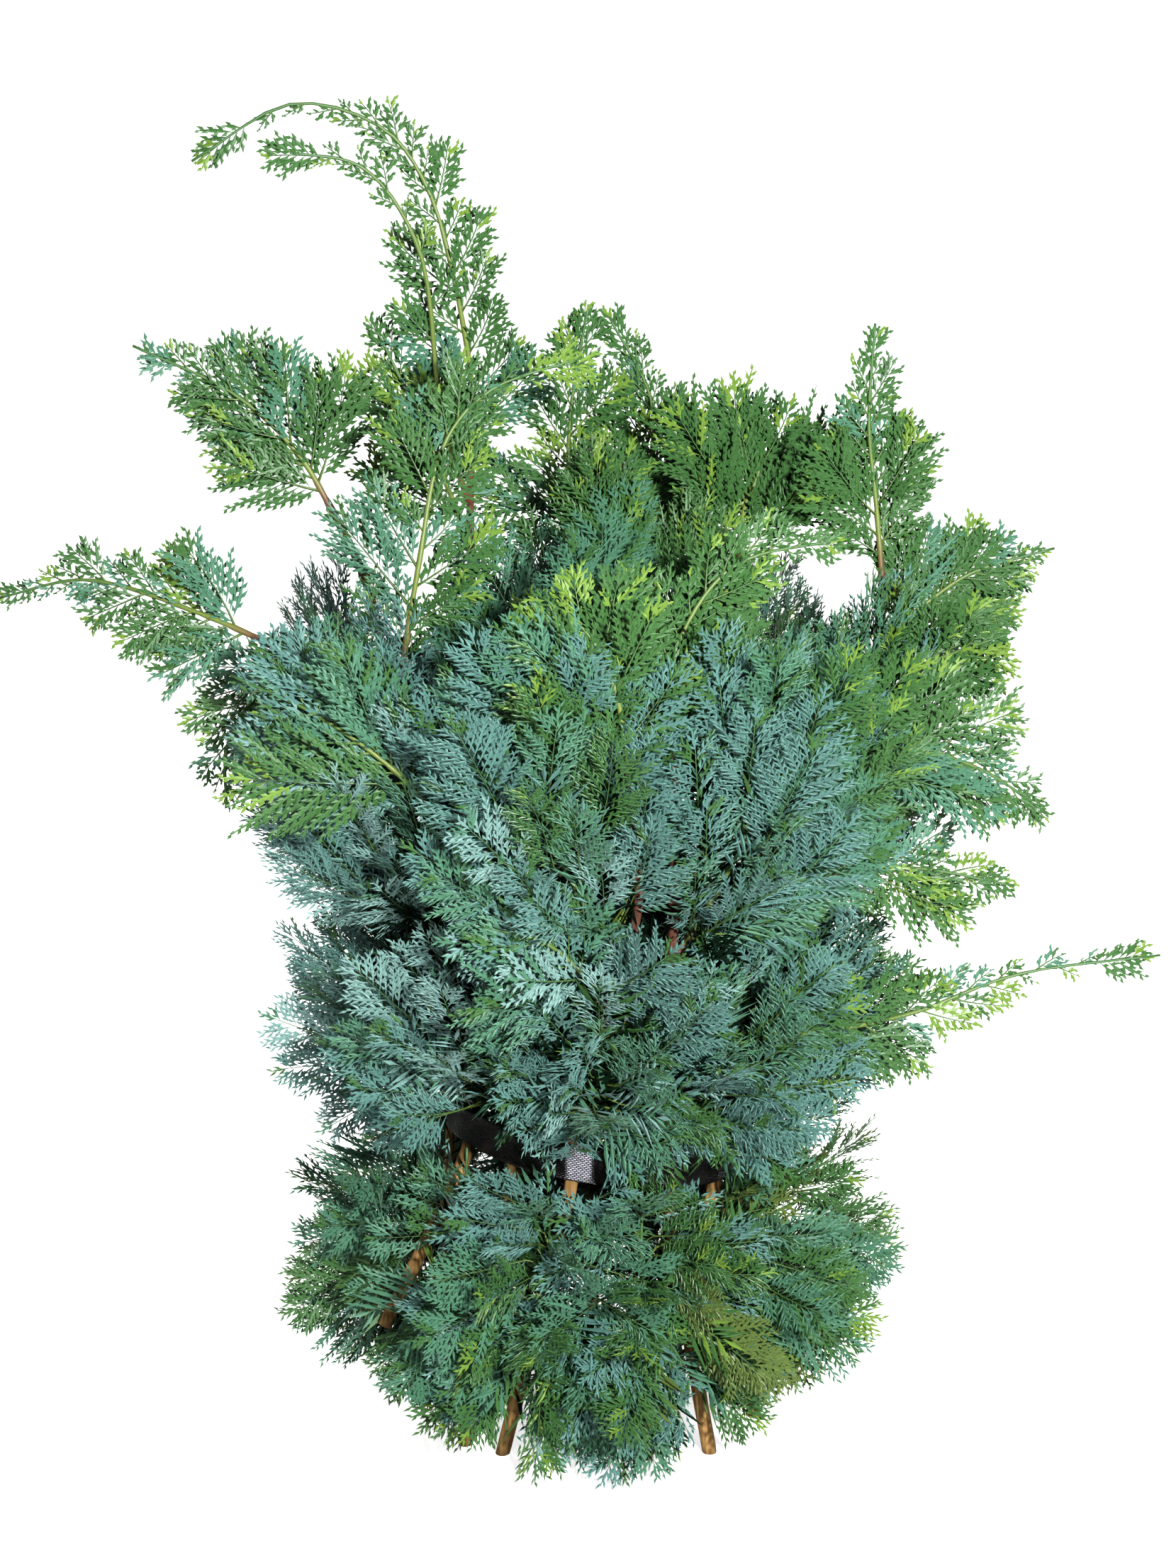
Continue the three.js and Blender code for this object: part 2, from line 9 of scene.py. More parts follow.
import bpy
import numpy as np
from bpy.props import FloatProperty, FloatVectorProperty, PointerProperty
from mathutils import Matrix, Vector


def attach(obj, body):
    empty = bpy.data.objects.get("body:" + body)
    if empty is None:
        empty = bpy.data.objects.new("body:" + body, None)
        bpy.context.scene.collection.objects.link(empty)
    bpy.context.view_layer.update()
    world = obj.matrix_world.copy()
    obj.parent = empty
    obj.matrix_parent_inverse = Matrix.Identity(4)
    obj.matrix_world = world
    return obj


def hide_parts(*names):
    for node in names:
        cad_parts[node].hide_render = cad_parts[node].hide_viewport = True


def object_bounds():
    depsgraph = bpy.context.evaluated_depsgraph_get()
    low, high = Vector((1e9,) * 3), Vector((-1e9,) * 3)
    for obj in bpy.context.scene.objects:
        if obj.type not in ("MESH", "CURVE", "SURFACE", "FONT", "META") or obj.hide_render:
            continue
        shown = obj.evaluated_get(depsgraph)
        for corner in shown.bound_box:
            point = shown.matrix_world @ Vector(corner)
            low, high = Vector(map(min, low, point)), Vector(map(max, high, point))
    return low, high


bl_info = {
    "name": "Cut cypress sheaf",
    "version": (1, 0, 0),
    "blender": (4, 5, 0),
    "location": "View3D > Sidebar > Sheaf",
    "description": "Grows a tied sheaf of Lawson cypress branches round its packed solids",
    "category": "Object",
}

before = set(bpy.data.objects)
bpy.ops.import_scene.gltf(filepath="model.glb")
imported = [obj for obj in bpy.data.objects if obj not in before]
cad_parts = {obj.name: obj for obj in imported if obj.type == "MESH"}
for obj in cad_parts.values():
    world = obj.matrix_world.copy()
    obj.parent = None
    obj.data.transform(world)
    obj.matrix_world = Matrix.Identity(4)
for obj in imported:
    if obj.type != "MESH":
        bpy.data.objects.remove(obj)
CAD_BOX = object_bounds()
MM = 0.001
PIECE_FACES = 190_000

# The sheaf's plan, the same as in its solids
CLEAR = 0.3
WAIST_HEIGHT, WAIST_LEAN = 193, 9
STRAP_INNER, STRAP_THICK, STRAP_WIDTH, STRAP_TURNS = 97, 1.8, 22, 30
STEM_FOOT, STEM_WAIST, STEM_TIP = 4.8, 4.3, 2.5
FEET_REACH, FEET_TWIST = 112, -14
BOUGH_ENDS, AXIS_ENDS = (2.6, 2.1), (2.4, 0.8)
GOLDEN = 137.508
SPRAY_FORWARD, SPRAY_DROOP, SPRAY_BOW, SPRAY_TWIST = 0.16, 0.06, 0.24, 50
# The least share of its length that a spray has, and what chance adds, on a plume or not
SPRAY_LUCK = {True: (0.6, 0.8), False: (0.75, 0.5)}
OPEN = (54, 26)
RING_ARC, RING_SLACK = 230, 8
FRONT = 40
SWAY, STRAY = 76, 0.14
CORE_ENDS, CORE_SEAT = (0.12, 0.82), 0.78
TIP_LENGTH, TIP_MOST, SHORTEST = 0.14, 34, 12
FULL = {"root": 0.66, "gain": 0.9, "blunt": 0.35, "plume": 1.2, "taper": 0.8}
# How strongly a dense mass's sprays turn outward, and up or down from the level height: the least at the root
# of the axis, and in full from the share named grown
FLOW = {"out": 0.25, "up": 0.9, "level": 215, "over": 110, "least": 0.15, "grown": 0.3}
GROUND, LEAF_GROUND = 2.5, 0.4
SHOOT_SEED, HEART_SEED, RING_SEED, STEM_FROND_SEED, STEM_SEED, BOUGH_SEED = 11, 5, 73, 500, 200, 300
# What each number from chance is drawn for
ROLL, TWIST, LONG, BEND, TILT, VARY, YOUNG, KIND, SPLAY, LIFT, SIZE, PHASE, KNOT, SIDE = range(14)
SHADE = 22

# The stems: the turn at the waist, then the places that each passes through in the crown.
# foot gives a stem another turn and reach at its foot, and hung lifts its cut end clear of the ground.
STEMS = {
    "centre": {"way": [(2, 10, 320), (6, 34, 440), (4, 56, 548)]},
    "back_left": {"waist": 128, "way": [(-64, 72, 330), (-76, 62, 470), (-78, 50, 596)]},
    "left": {"waist": 172, "way": [(-104, 10, 310), (-122, -2, 430), (-139, -10, 540), (-160, -9, 588)]},
    "left_front": {
        "waist": 212, "foot": (207, 148), "hung": 76,
        "way": [(-92, -66, 310), (-112, -72, 420), (-124, -66, 505)],
    },
    "front_left": {
        "waist": 238, "way": [(-50, -96, 280), (-54, -120, 360), (-72, -129, 404), (-92, -134, 427)],
    },
    "front": {"waist": 262, "foot": (238, 107), "way": [(4, -104, 280), (27, -144, 375), (20, -162, 440)]},
    "front_right": {
        "waist": 300, "foot": (310, 116), "way": [(48, -100, 290), (48, -128, 390), (47, -138, 462)],
    },
    "right_front": {
        "waist": 328, "foot": (289, 103), "way": [(88, -64, 290), (112, -70, 390), (136, -71, 432)],
    },
    "right": {"waist": 355, "way": [(112, -6, 300), (150, 2, 390), (176, 9, 473), (183, 14, 540)]},
    "right_back": {"waist": 32, "way": [(88, 58, 310), (92, 54, 440), (94, 43, 552)]},
    "back": {"waist": 80, "way": [(18, 98, 310), (24, 118, 420), (22, 128, 520)]},
}
BOUGHS = {"far_left": [(-119, -69, 468), (-146, -64, 490), (-172, -57, 503), (-196, -50, 512)]}


def shoot(limb, way, face, spray, count, flat, tint="green", **more):
    """A mass that grows on from a limb, along way and with its flat side turned to face: the length of its
    longest sprays, their count and its depth over its width. closer gives it that many times the fronds."""
    return {
        "limb": limb, "way": way, "face": face, "spray": spray, "count": count, "flat": flat, "tint": tint,
        "plume": True, **more,
    }


# The masses that grow on from a limb, from its tip or from a height on it
SHOOTS = {
    "leader_low": shoot("back_left", [(-108, 34, 640), (-136, 24, 702)], 270, 46, 8, 0.5, start=560),
    "leader_tip": shoot(
        "back_left",
        [(-74, 38, 645), (-84, 22, 722), (-101, 15, 784), (-126, 10, 818), (-180, 4, 833), (-242, -2, 799)],
        270, 42, 14, 0.4, "lime",
    ),
    "leader_arch": shoot(
        "back_left", [(-94, 30, 640), (-106, 2, 748), (-138, -8, 795), (-181, -16, 804)],
        270, 28, 9, 0.4, "lime", start=584,
    ),
    "upper_left": shoot("left", [(-181, -6, 623), (-219, -4, 659), (-281, -4, 689)], 270, 54, 10, 0.45),
    "far_left": shoot("far_left", [(-242, -40, 530), (-312, -20, 547), (-369, -5, 534)], 270, 38, 10, 0.45),
    "far_left_low": shoot(
        "far_left", [(-200, -58, 486), (-222, -60, 452), (-224, -62, 412)],
        262, 36, 6, 0.5, "lime", start=504,
    ),
    "front_left": shoot(
        "front_left", [(-121, -140, 457), (-162, -132, 484), (-212, -112, 503)], 256, 70, 11, 0.5, "blue",
    ),
    "centre_left": shoot(
        "left_front", [(-104, -72, 560), (-88, -58, 634), (-62, -50, 664), (-6, -42, 684)],
        270, 46, 11, 0.6, start=470,
    ),
    "top_centre": shoot("centre", [(-14, 62, 602), (-12, 58, 657), (-2, 52, 712)], 270, 50, 9, 0.5),
    "top_centre_right": shoot(
        "centre", [(34, 72, 590), (38, 66, 650), (11, 58, 704)], 270, 48, 9, 0.5, start=500, closer=1.6,
    ),
    "top_right": shoot(
        "right_back", [(97, 40, 585), (106, 40, 612), (92, 46, 650)], 270, 66, 9, 0.8, closer=1.9,
    ),
    "right_leader": shoot("right", [(178, 14, 590), (172, 11, 640), (174, 6, 702)], 270, 46, 9, 0.45),
    "right_upper": shoot(
        "right", [(212, 24, 526), (241, 28, 545), (294, 34, 560)], 270, 44, 8, 0.45, start=500, closer=1.4,
    ),
    "right_plume": shoot("right", [(206, -16, 492), (256, -26, 514)], 270, 52, 7, 0.6, start=455),
    "right_mid": shoot("right_front", [(188, -68, 450), (237, -60, 436), (279, -56, 408)], 276, 54, 9, 0.55),
    "right_low_mid": shoot(
        "right_front", [(164, -64, 374), (206, -56, 372), (262, -50, 360)], 278, 50, 8, 0.6, start=350,
    ),
    "right_low": shoot(
        "right_front", [(138, -76, 273), (198, -56, 279), (266, -44, 301), (358, -34, 311)],
        270, 38, 10, 0.45, "lime", start=262,
    ),
    "front_centre": shoot(
        "front", [(14, -168, 500), (-2, -166, 535), (-28, -160, 556)], 268, 58, 8, 0.6, "lime",
    ),
    "front_right": shoot(
        "front_right", [(45, -142, 513), (79, -130, 568), (148, -112, 584)], 275, 54, 10, 0.6, "lime",
    ),
    "front_mid": shoot(
        "front", [(-4, -152, 330), (-28, -168, 356), (-62, -172, 366)], 266, 58, 7, 0.7, "blue", start=290,
    ),
    "back_top": shoot("back", [(24, 136, 540), (34, 142, 576)], 90, 52, 8, 0.7, core=18, plume=False),
    "back_arm": shoot("back", [(-10, 190, 470), (-30, 252, 520)], 30, 62, 9, 0.55, "blue", start=400),
}

# Rings of masses round the body: the height where each leaves its stem, the reach and height of its middle
# and its tip, and the turns where the ring has one. wide is the width of the dense middle over its depth.
RINGS = {
    "skirt": {
        "start": 40, "middle": (115, 98), "end": (112, 200), "spray": 63, "count": 9, "flat": 0.6,
        "core": 24, "wide": 1.4, "open": (120, 36), "tint": "skirt",
        "turns": (190, 226, 256, 286, 318, 355, 58, 122),
    },
    "low": {
        "start": 214, "middle": (116, 258), "end": (140, 336), "spray": 60, "count": 8, "flat": 0.6,
        "core": 30, "wide": 1.5, "open": (104, 30), "tint": "blue",
        "turns": (192, 232, 272, 312, 350, 34, 84, 138),
    },
    "mid": {
        "start": 330, "middle": (145, 404), "end": (168, 508), "spray": 78, "count": 8, "flat": 0.6,
        "core": 36, "wide": 1.6, "open": (84, 28), "tint": "blue",
        "turns": (216, 262, 308, 354, 48, 104, 162),
    },
}
HEART = {
    "points": [(0, 0, 206), (2, -6, 330), (8, -14, 450), (4, 4, 588)], "face": 270, "spray": 90, "count": 11,
    "flat": 1, "core": 92, "wide": 1, "span": (0.5, 0.96), "tint": "green",
}

# How many sprays of each colour a mass has, by its tint, and a slot listed for each colour, of which only the
# list of colours is used
SHARES = {
    "blue": {"pale": 0.2, "blue": 0.42, "teal": 0.28, "green": 0.1},
    "green": {"blue": 0.2, "teal": 0.32, "green": 0.45, "lime": 0.03},
    "lime": {"blue": 0.1, "teal": 0.3, "green": 0.53, "lime": 0.07},
    "skirt": {"pale": 0.04, "blue": 0.3, "teal": 0.3, "green": 0.28, "olive": 0.08},
}
SLOTS = {
    "deep": "foliage_green", "pale": "foliage_blue", "blue": "foliage_blue", "teal": "foliage_blue",
    "green": "foliage_green", "lime": "foliage_lime", "olive": "foliage_lime",
}
# The colour that younger growth of each colour has, further out on a frond
YOUNGER = {"pale": "teal", "blue": "green", "teal": "green", "green": "lime"}
KINDS = list(SLOTS)
# How far the deal of colours leans to green: to the right in the crown, high up in it, at the sides of the
# skirt, right of its middle as painted bounce light, and towards the tip of a plume, but never more than the
# most
GREENER = {"right": 0.4, "high": 0.5, "skirt": 0.45, "skirt_right_bounce": 0.2, "young": 0.3, "most": 0.5}
RIGHT_REACH, LEFT_MOST, HIGH_START, HIGH_OVER, SKIRT_REACH, BOUNCE_FROM_X = 150, -0.8, 380, 160, 100, 20

# A skirt frond's length over its mass's: at the front and back, and at the sides, which bulge at one height
SKIRT = {"middle": 60, "front": 1.08, "side": 0.62, "bulge": 0.5, "height": 112, "spread": 26}
# The short fronds on the stems: the steps up a stem, their length, where they start, the bare top, and the
# height up to which they belong to the skirt
ON_STEM = {"steps": 90, "long": (48, 76), "low": 40, "bare": 130, "skirt": 178}
# The shaded fronds inside: the smallest core of a mass that has them, where they grow on its axis, the width
# of a leaf, a frond's length and width over the others', and the share of them that is painted near-black,
# as painted shade
INNER = {"core": 24, "span": (0.06, 0.6), "seed": 400, "leaf": 2.9, "long": 0.8, "broad": 1.2, "dark": 0.8}
# How far branchlets and leaves open at the root and tip of what carries them, and how far that wavers, in
# degrees, how far each may lift out of the flat, and how far a branchlet bows forward
BRANCHLET_OPEN, LEAF_OPEN, WAVER, LIFTED, FORWARD = (58, 36), (44, 30), 16, 0.6, 0.2
# What a plume's branchlets have over the others': distance, length and thickness, and its twigs' thickness
PLUME_GAP, PLUME_LONG, PLUME_STOUT, PLUME_TWIG = 0.9, 1.15, 1.35, 1.5
# The reach from the middle, at each height, past which an inner frond shows at the sheaf's outline
RIM = ((60, 200, 330, 540), (145, 125, 165, 178))

# Where the photo shows bare stems, as the heights of each stretch, and bare strap, as turns and half a share
# of its width
BARE_STEMS = {
    "front": [(0, 47), (58, 68)],
    "front_right": [(0, 52), (66, 84)],
    "left_front": [(76, 90), (112, 126)],
}
BARE_STRAP = ((201, 232, 0.42), (259, 274, 0.5), (312, 330, 0.24))
# The middle and half the width of the stretch of strap that catches the light, painted pale silver as a
# painted highlight, as turns
PAINTED_GLEAM = (265.5, 5.5)

CAMERA = {"aim": (-0.0025, 0, 0.414), "distance": 1.7, "rise": 12, "lens": 61.5}
BACK = np.array([0, -math.cos(math.radians(CAMERA["rise"])), math.sin(math.radians(CAMERA["rise"]))])
# How the floor glows by its distance from the sheaf, how the room gives light from front to back, and how
# bright the room is to the camera
FLOOR_GLOW, ROOM_LIGHT, ROOM_SEEN = ((0.2, 1.5), (0.62, 0.9)), ((-0.2, 0.9), (0.1, 0.6)), 1.1
FLOOR_REACH, FLOOR_DROP = 9000, 0.3
# Each light's place in metres, power in watts and size in metres
LIGHTS = {
    "key": ((0.5, -1.7, 1.0), 100, 0.12),
    "fill": ((-1.5, -1.2, 1.0), 9, 1.0),
    "rear": ((1.2, 1.4, 1.2), 20, 0.5),
    "side": ((-1.3, 1.2, 1.1), 20, 0.5),
}


def linear(text):
    """An sRGB hex colour as linear red, green and blue."""
    parts = [int(text[at : at + 2], 16) / 255 for at in (1, 3, 5)]
    return tuple(part / 12.92 if part <= 0.04045 else ((part + 0.055) / 1.055) ** 2.4 for part in parts)


def panel(kind, rows, scale=1, **settings):
    """The properties of a panel's group, one for each row of a name, a number or colour, and what it is."""
    made = {}
    for key, (value, about) in rows.items():
        value = linear(value) if isinstance(value, str) else value * scale
        label = key.replace("_", " ").capitalize()
        made[key] = kind(name=label, description=about, default=value, **settings)
    return made


# What the panel shows
NUMBERS = {
    "dense": (5.2, "Fronds for each spray of a dense mass"),
    "plume": (2.1, "Fronds for each spray of a flat plume"),
    "frond_width": (0.27, "Half of a frond's width over its length"),
    "inner": (0.4, "Where the shaded fronds start, over the depth of the others"),
    "ridge": (0.07, "Depth of the bark's ridges over its radius"),
}
LENGTHS = {
    "branchlet_gap": (2.7, "Distance between branchlets along a frond"),
    "branchlet_width": (2.0, "Width of a branchlet with its pressed leaves"),
    "leaf_gap": (2.3, "Distance between side leaves along a branchlet"),
    "leaf_length": (6.4, "Length of the longest side leaves"),
    "leaf_width": (1.8, "Width of the widest side leaves"),
    "inner_gap": (3.1, "Distance between leaves along a shaded frond"),
    "rib": (2.4, "Spacing of the woven ribs along the strap"),
}
COLOURS = {
    "bark": ("#8C6E42", "Dry bark near the cut ends"),
    "red_bark": ("#57372A", "Bark of younger wood"),
    "twig": ("#56622A", "Soft bark near the tips"),
    "cut": ("#D9BE8E", "Fresh cut ends"),
    "webbing": ("#1E191B", "Polyester strap"),
    # Painted highlight: a pale silver painted on one stretch of the webbing, where the light catches the
    # weave
    "gleam": ("#C4C2CE", "Webbing where it catches the light"),
    # Painted shade: a near-black green that stands in for the shade deep inside the sheaf
    "deep": ("#0B1A0F", "Leaves in the shade inside"),
    "pale": ("#5A7671", "Leaves with a thick wax bloom"),
    "blue": ("#42625C", "Leaves with a wax bloom"),
    "teal": ("#395D49", "Leaves with a thin wax bloom"),
    "green": ("#31502A", "Leaves without bloom"),
    "lime": ("#536C2C", "Young growth at the tips"),
    # Painted bounce light: this olive stands in for light thrown up onto the skirt, mostly right of its
    # middle, and not for old leaves
    "olive": ("#46552A", "Old leaves low on the sheaf"),
}


class SheafSizes(bpy.types.PropertyGroup):
    """Sizes of the growth, for the whole sheaf."""

    __annotations__ = {
        **panel(FloatProperty, NUMBERS, min=0),
        **panel(FloatProperty, LENGTHS, MM, min=0, precision=4, unit="LENGTH"),
    }


class SheafColours(bpy.types.PropertyGroup):
    """Colours of the sheaf."""

    __annotations__ = panel(FloatVectorProperty, COLOURS, size=3, min=0, max=1, subtype="COLOR")


def unit(rows):
    """Each row divided by its length."""
    return rows / np.maximum(np.linalg.norm(rows, axis=-1, keepdims=True), 1e-9)


def square_to(rows, along):
    """The part of each row that is square to its direction along, as a unit."""
    return unit(rows - along * np.sum(rows * along, axis=1, keepdims=True))


def place(turn, reach, height):
    """The point at a turn, a reach from the middle and a height."""
    return np.array([reach * math.cos(math.radians(turn)), reach * math.sin(math.radians(turn)), height])


def mixed(ends, share):
    """The value that lies a share of the way from the first end to the last."""
    return ends[0] + (ends[1] - ends[0]) * share


def chance(seed, step, use):
    """One repeatable number from 0 to 1 for each seed, step and use: their products with primes, stirred."""
    whole = 0xFFFFFFFF
    seed, step, use = (np.asarray(part).astype(np.int64) for part in (seed, step, use))
    with np.errstate(over="ignore"):
        mix = (seed * 73856093 & whole) ^ ((step + 1) * 19349663 & whole) ^ ((use + 1) * 83492791 & whole)
        mix = (mix ^ (mix >> 15)) * 2246822519 & whole
        mix = (mix ^ (mix >> 13)) * 3266489917 & whole
    return (mix ^ (mix >> 16)) / 4294967296


def curve(points, t):
    """Places at t on the smooth curve through points: cubics whose end slopes come from the points on either
    side, each span weighed by the square root of its length."""
    points = np.asarray(points, float)
    spans = len(points) - 1
    ends = np.vstack([2 * points[0] - points[1], points, 2 * points[-1] - points[-2]])
    at = np.clip(t, 0, 1) * spans
    span = np.minimum(at.astype(int), spans - 1)
    rest = (at - span)[:, None]
    before, here, there, after = (ends[span + step] for step in range(4))
    first, middle, last = (
        np.sqrt(np.linalg.norm(two - one, axis=1, keepdims=True))
        for one, two in ((before, here), (here, there), (there, after))
    )
    leave = ((here - before) / first - (there - before) / (first + middle)) * middle + (there - here)
    arrive = ((after - there) / last - (after - here) / (middle + last)) * middle + (there - here)
    bow = 3 * (there - here) - 2 * leave - arrive
    turn = 2 * (here - there) + leave + arrive
    return here + leave * rest + bow * rest**2 + turn * rest**3


def curve_length(points, places):
    """The length of the curve through points, measured between so many places."""
    return np.linalg.norm(np.diff(curve(points, np.linspace(0, 1, places)), axis=0), axis=1).sum()


def frame_along(points, facing, t):
    """Places on a curve, its direction, and its directions sideways and out of its flat towards facing."""
    along = unit(curve(points, t + 1e-3) - curve(points, t - 1e-3))
    side = unit(np.cross(np.broadcast_to(facing, along.shape), along))
    return curve(points, t), along, side, np.cross(along, side)


def only(arrays, kept):
    """The kept rows of every array."""
    return {key: rows[kept] for key, rows in arrays.items()}


def at_height(points, height):
    """The place on a curve that lies nearest to a height."""
    places = curve(points, np.linspace(0, 1, 121))
    return places[np.argmin(np.abs(places[:, 2] - height))]


def strap_height(x):
    """The height of the leaning strap's middle at a place along X."""
    return WAIST_HEIGHT - math.tan(math.radians(WAIST_LEAN)) * x


def ties(turn):
    """Two places inside the strap, below and above its middle, where a stem runs against it."""
    middle = place(turn, STRAP_INNER * math.cos(math.pi / STRAP_TURNS) - CLEAR - STEM_WAIST, WAIST_HEIGHT)
    middle[2] = strap_height(middle[0])
    return [middle + (0, 0, share * STRAP_WIDTH) for share in (-0.6, 0.6)]


def limb_paths():
    """The places that each stem and bough passes through."""
    paths = {}
    for name, stem in STEMS.items():
        if "waist" not in stem:
            paths[name] = [(0, 0, 0), (0, 0, WAIST_HEIGHT), *stem["way"]]
            continue
        turn, reach = stem.get("foot", (stem["waist"] + FEET_TWIST, FEET_REACH))
        paths[name] = [place(turn, reach, stem.get("hung", 0)), *ties(stem["waist"]), *stem["way"]]
    return {**paths, **BOUGHS}


def plan_masses():
    """Each mass of foliage with its settings and the places that its axis passes through."""
    paths = limb_paths()
    plain = {"core": 0, "wide": 1.3, "arc": 360, "span": (0.1, 0.88), "open": OPEN, "plume": False}
    masses = []
    for index, (name, shoot) in enumerate(SHOOTS.items()):
        path = paths[shoot["limb"]]
        start = at_height(path, shoot["start"]) if "start" in shoot else curve(path, np.ones(1))[0]
        own = {"name": name, "seed": SHOOT_SEED + index, "points": [start, *shoot["way"]]}
        masses.append({**plain, **shoot, **own})
    masses.append({**plain, **HEART, "name": "heart", "seed": HEART_SEED})
    for ring, layout in RINGS.items():
        starts = [at_height(paths[name], layout["start"]) for name in STEMS if name != "centre"]
        starts = [start for start in starts if abs(start[2] - layout["start"]) < RING_SLACK]
        for index, turn in enumerate(layout["turns"]):
            middle = place(turn, *layout["middle"])
            start = min(starts, key=lambda point: np.linalg.norm(point - middle))
            mass = {**plain, **layout, "arc": RING_ARC, "face": turn - FRONT * math.cos(math.radians(turn))}
            mass.update(name=f"{ring}_{index + 1}", seed=RING_SEED + len(masses))
            masses.append({**mass, "points": [start, middle, place(turn, *layout["end"])]})
    for mass in masses:
        mass.update(facing=unit(place(mass["face"], 1, 0.1)), node=f"foliage_{mass['name']}")
    return masses


def fullness(mass, share):
    """How long a spray is at a share of its axis, over the mass's longest: tapering to the tip on a plume."""
    if mass["plume"]:
        return FULL["plume"] * (1 - share) ** FULL["taper"]
    return (1 - share) ** FULL["blunt"] * (FULL["root"] + FULL["gain"] * share)


def flow(mass, root):
    """How a spray of a dense mass turns at its root: outward, and up above the level height or down below."""
    if mass["plume"]:
        return 0 * root
    out = unit(root * (1, 1, 0)) * FLOW["out"]
    rise = np.clip((root[:, 2] - FLOW["level"]) / FLOW["over"], -1, 1)
    return out + rise[:, None] * (0, 0, FLOW["up"])


def rolls(mass, seed, k):
    """The turn of each spray round its axis: left and right in turn on a plume, else a golden turn on from
    the last, within the mass's arc."""
    luck = chance(seed, k, ROLL)
    if mass["plume"]:
        return np.radians(180 * (k % 2) + SWAY * (luck - 0.5))
    return np.radians(90 + mass["arc"] * ((k * GOLDEN / 360 + STRAY * luck) % 1 - 0.5))


def grow_fronds(mass, number, depth=1.0):
    """The seeded rule of the solids, carried to more sprays: each frond's root on its mass's axis or on a
    twig round it, its way, flat, bend and length, and a last one at the tip. A depth under 1 draws the roots
    in towards the axis."""
    inner = depth < 1
    k = np.arange(number + 1)
    tip = k == number
    path, facing = mass["points"], mass["facing"]
    seed = mass["seed"] + (INNER["seed"] if inner else 0)
    span = INNER["span"] if inner else mass["span"]
    reach = curve_length(path, 60)
    share = np.where(tip, 1 - min(TIP_LENGTH, TIP_MOST / reach), mixed(span, (k + 0.5) / number))
    point, along, side, out = frame_along(path, facing, share)
    roll = rolls(mass, seed, k)[:, None]
    opening = np.radians(np.where(tip, 0, mixed(mass["open"], share)))[:, None]
    sideways = side * np.cos(roll) + out * np.sin(roll) * mass["flat"]
    aim = unit(along * np.cos(opening) + sideways * np.sin(opening))
    in_core = 2 * (share - CORE_ENDS[0]) / (CORE_ENDS[1] - CORE_ENDS[0]) - 1
    dome = np.sqrt(np.maximum(0, 1 - in_core**2))
    lift = depth * np.where(tip, 0, CORE_SEAT * mass["core"] * dome)[:, None]
    root = point + side * np.cos(roll) * lift * mass["wide"] + out * np.sin(roll) * lift
    turned = np.where(tip, 0, np.clip(share / FLOW["grown"], FLOW["least"], 1))[:, None]
    aim = unit(aim + flow(mass, root) * turned)
    across = np.cross(facing, aim)
    across = np.where(np.linalg.norm(across, axis=1, keepdims=True) < 0.3, side, across)
    across = square_to(across, aim)
    twist = np.radians(SPRAY_TWIST * (chance(seed, k, TWIST) - 0.5))[:, None]
    across = across * np.cos(twist) + np.cross(aim, across) * np.sin(twist)
    bow = SPRAY_BOW * (chance(seed, k, BEND) - 0.5)[:, None]
    bend = along * np.where(tip, 0, SPRAY_FORWARD)[:, None] + across * bow - (0, 0, SPRAY_DROOP)
    least, more = SPRAY_LUCK[mass["plume"]]
    long = mass["spray"] * fullness(mass, share) * (least + more * chance(seed, k, LONG))
    long = np.where(tip, min(TIP_MOST, TIP_LENGTH * reach), long)
    long = np.maximum(SHORTEST, long) * (INNER["long"] if inner else 1)
    if mass["tint"] == "skirt":
        rise = (root[:, 2] - SKIRT["height"]) / SKIRT["spread"]
        bulge = SKIRT["side"] + SKIRT["bulge"] * np.exp(-(rise**2))
        long = long * np.where(np.abs(root[:, 0]) > SKIRT["middle"], bulge, SKIRT["front"])
    # A frond that would reach the ground, or leave the box of the solids, is shortened
    low, high = np.array(CAD_BOX) / MM
    low[2] = GROUND
    whole = np.where(np.abs(aim + bend) < 1e-6, 1e-6, aim + bend)
    room = np.where(whole > 0, high - root, low - root) / whole
    long = np.minimum(long, np.maximum(0, room.min(axis=1)))
    start = frame_along(path, facing, np.maximum(share - 0.1, 0.02))[0]
    fronds = {
        "root": root, "aim": aim, "across": across, "bend": bend, "long": long, "share": share,
        "seed": seed * 1000 + k, "start": np.where(lift > 0, start, root),
        "plume": np.full(len(k), mass["plume"]),
    }
    kept = (long > 0.5 * SHORTEST) & ~(tip & inner)
    return only(fronds, kept)


def stem_fronds(masses, shaded):
    """Short fronds up the stems between the rings, one at every step and a golden turn on from the last. The
    shaded ones stand half open and count with the heart. The others fill the back of the skirt."""
    names = [mass["name"] for mass in masses]
    step = np.arange(ON_STEM["steps"])
    grown = []
    for index, path in enumerate(limb_paths().values()):
        point, along, side, out = frame_along(path, np.array([0, 1, 0.1]), (step + 0.5) / len(step))
        height = point[:, 2]
        skirt = (height < ON_STEM["skirt"]) & (point[:, 1] > 0)
        kept = (height > ON_STEM["low"]) & (height < height[-1] - ON_STEM["bare"]) & (skirt != shaded)
        roll = np.radians(GOLDEN * step + 90 * index)[:, None]
        sideways = side * np.cos(roll) + out * np.sin(roll)
        upward, outward, longer = (1.3, 0, 1) if shaded else (0.1, 0.5, 1.5)
        aim = unit(along * upward + sideways + unit(point * (1, 1, 0)) * outward)
        seed = STEM_FROND_SEED + index
        root = point + sideways * STEM_WAIST
        fronds = {
            "root": root, "aim": aim, "across": unit(np.cross(aim, sideways + along)), "bend": along * 0.2,
            "long": mixed(ON_STEM["long"], chance(seed, step, LONG)) * longer, "share": 0.0 * step,
            "seed": seed * 1000 + step, "start": root, "plume": step < 0,
            "mass": np.where(skirt, names.index("skirt_7"), names.index("heart")),
        }
        grown.append(only(fronds, kept))
    return grown


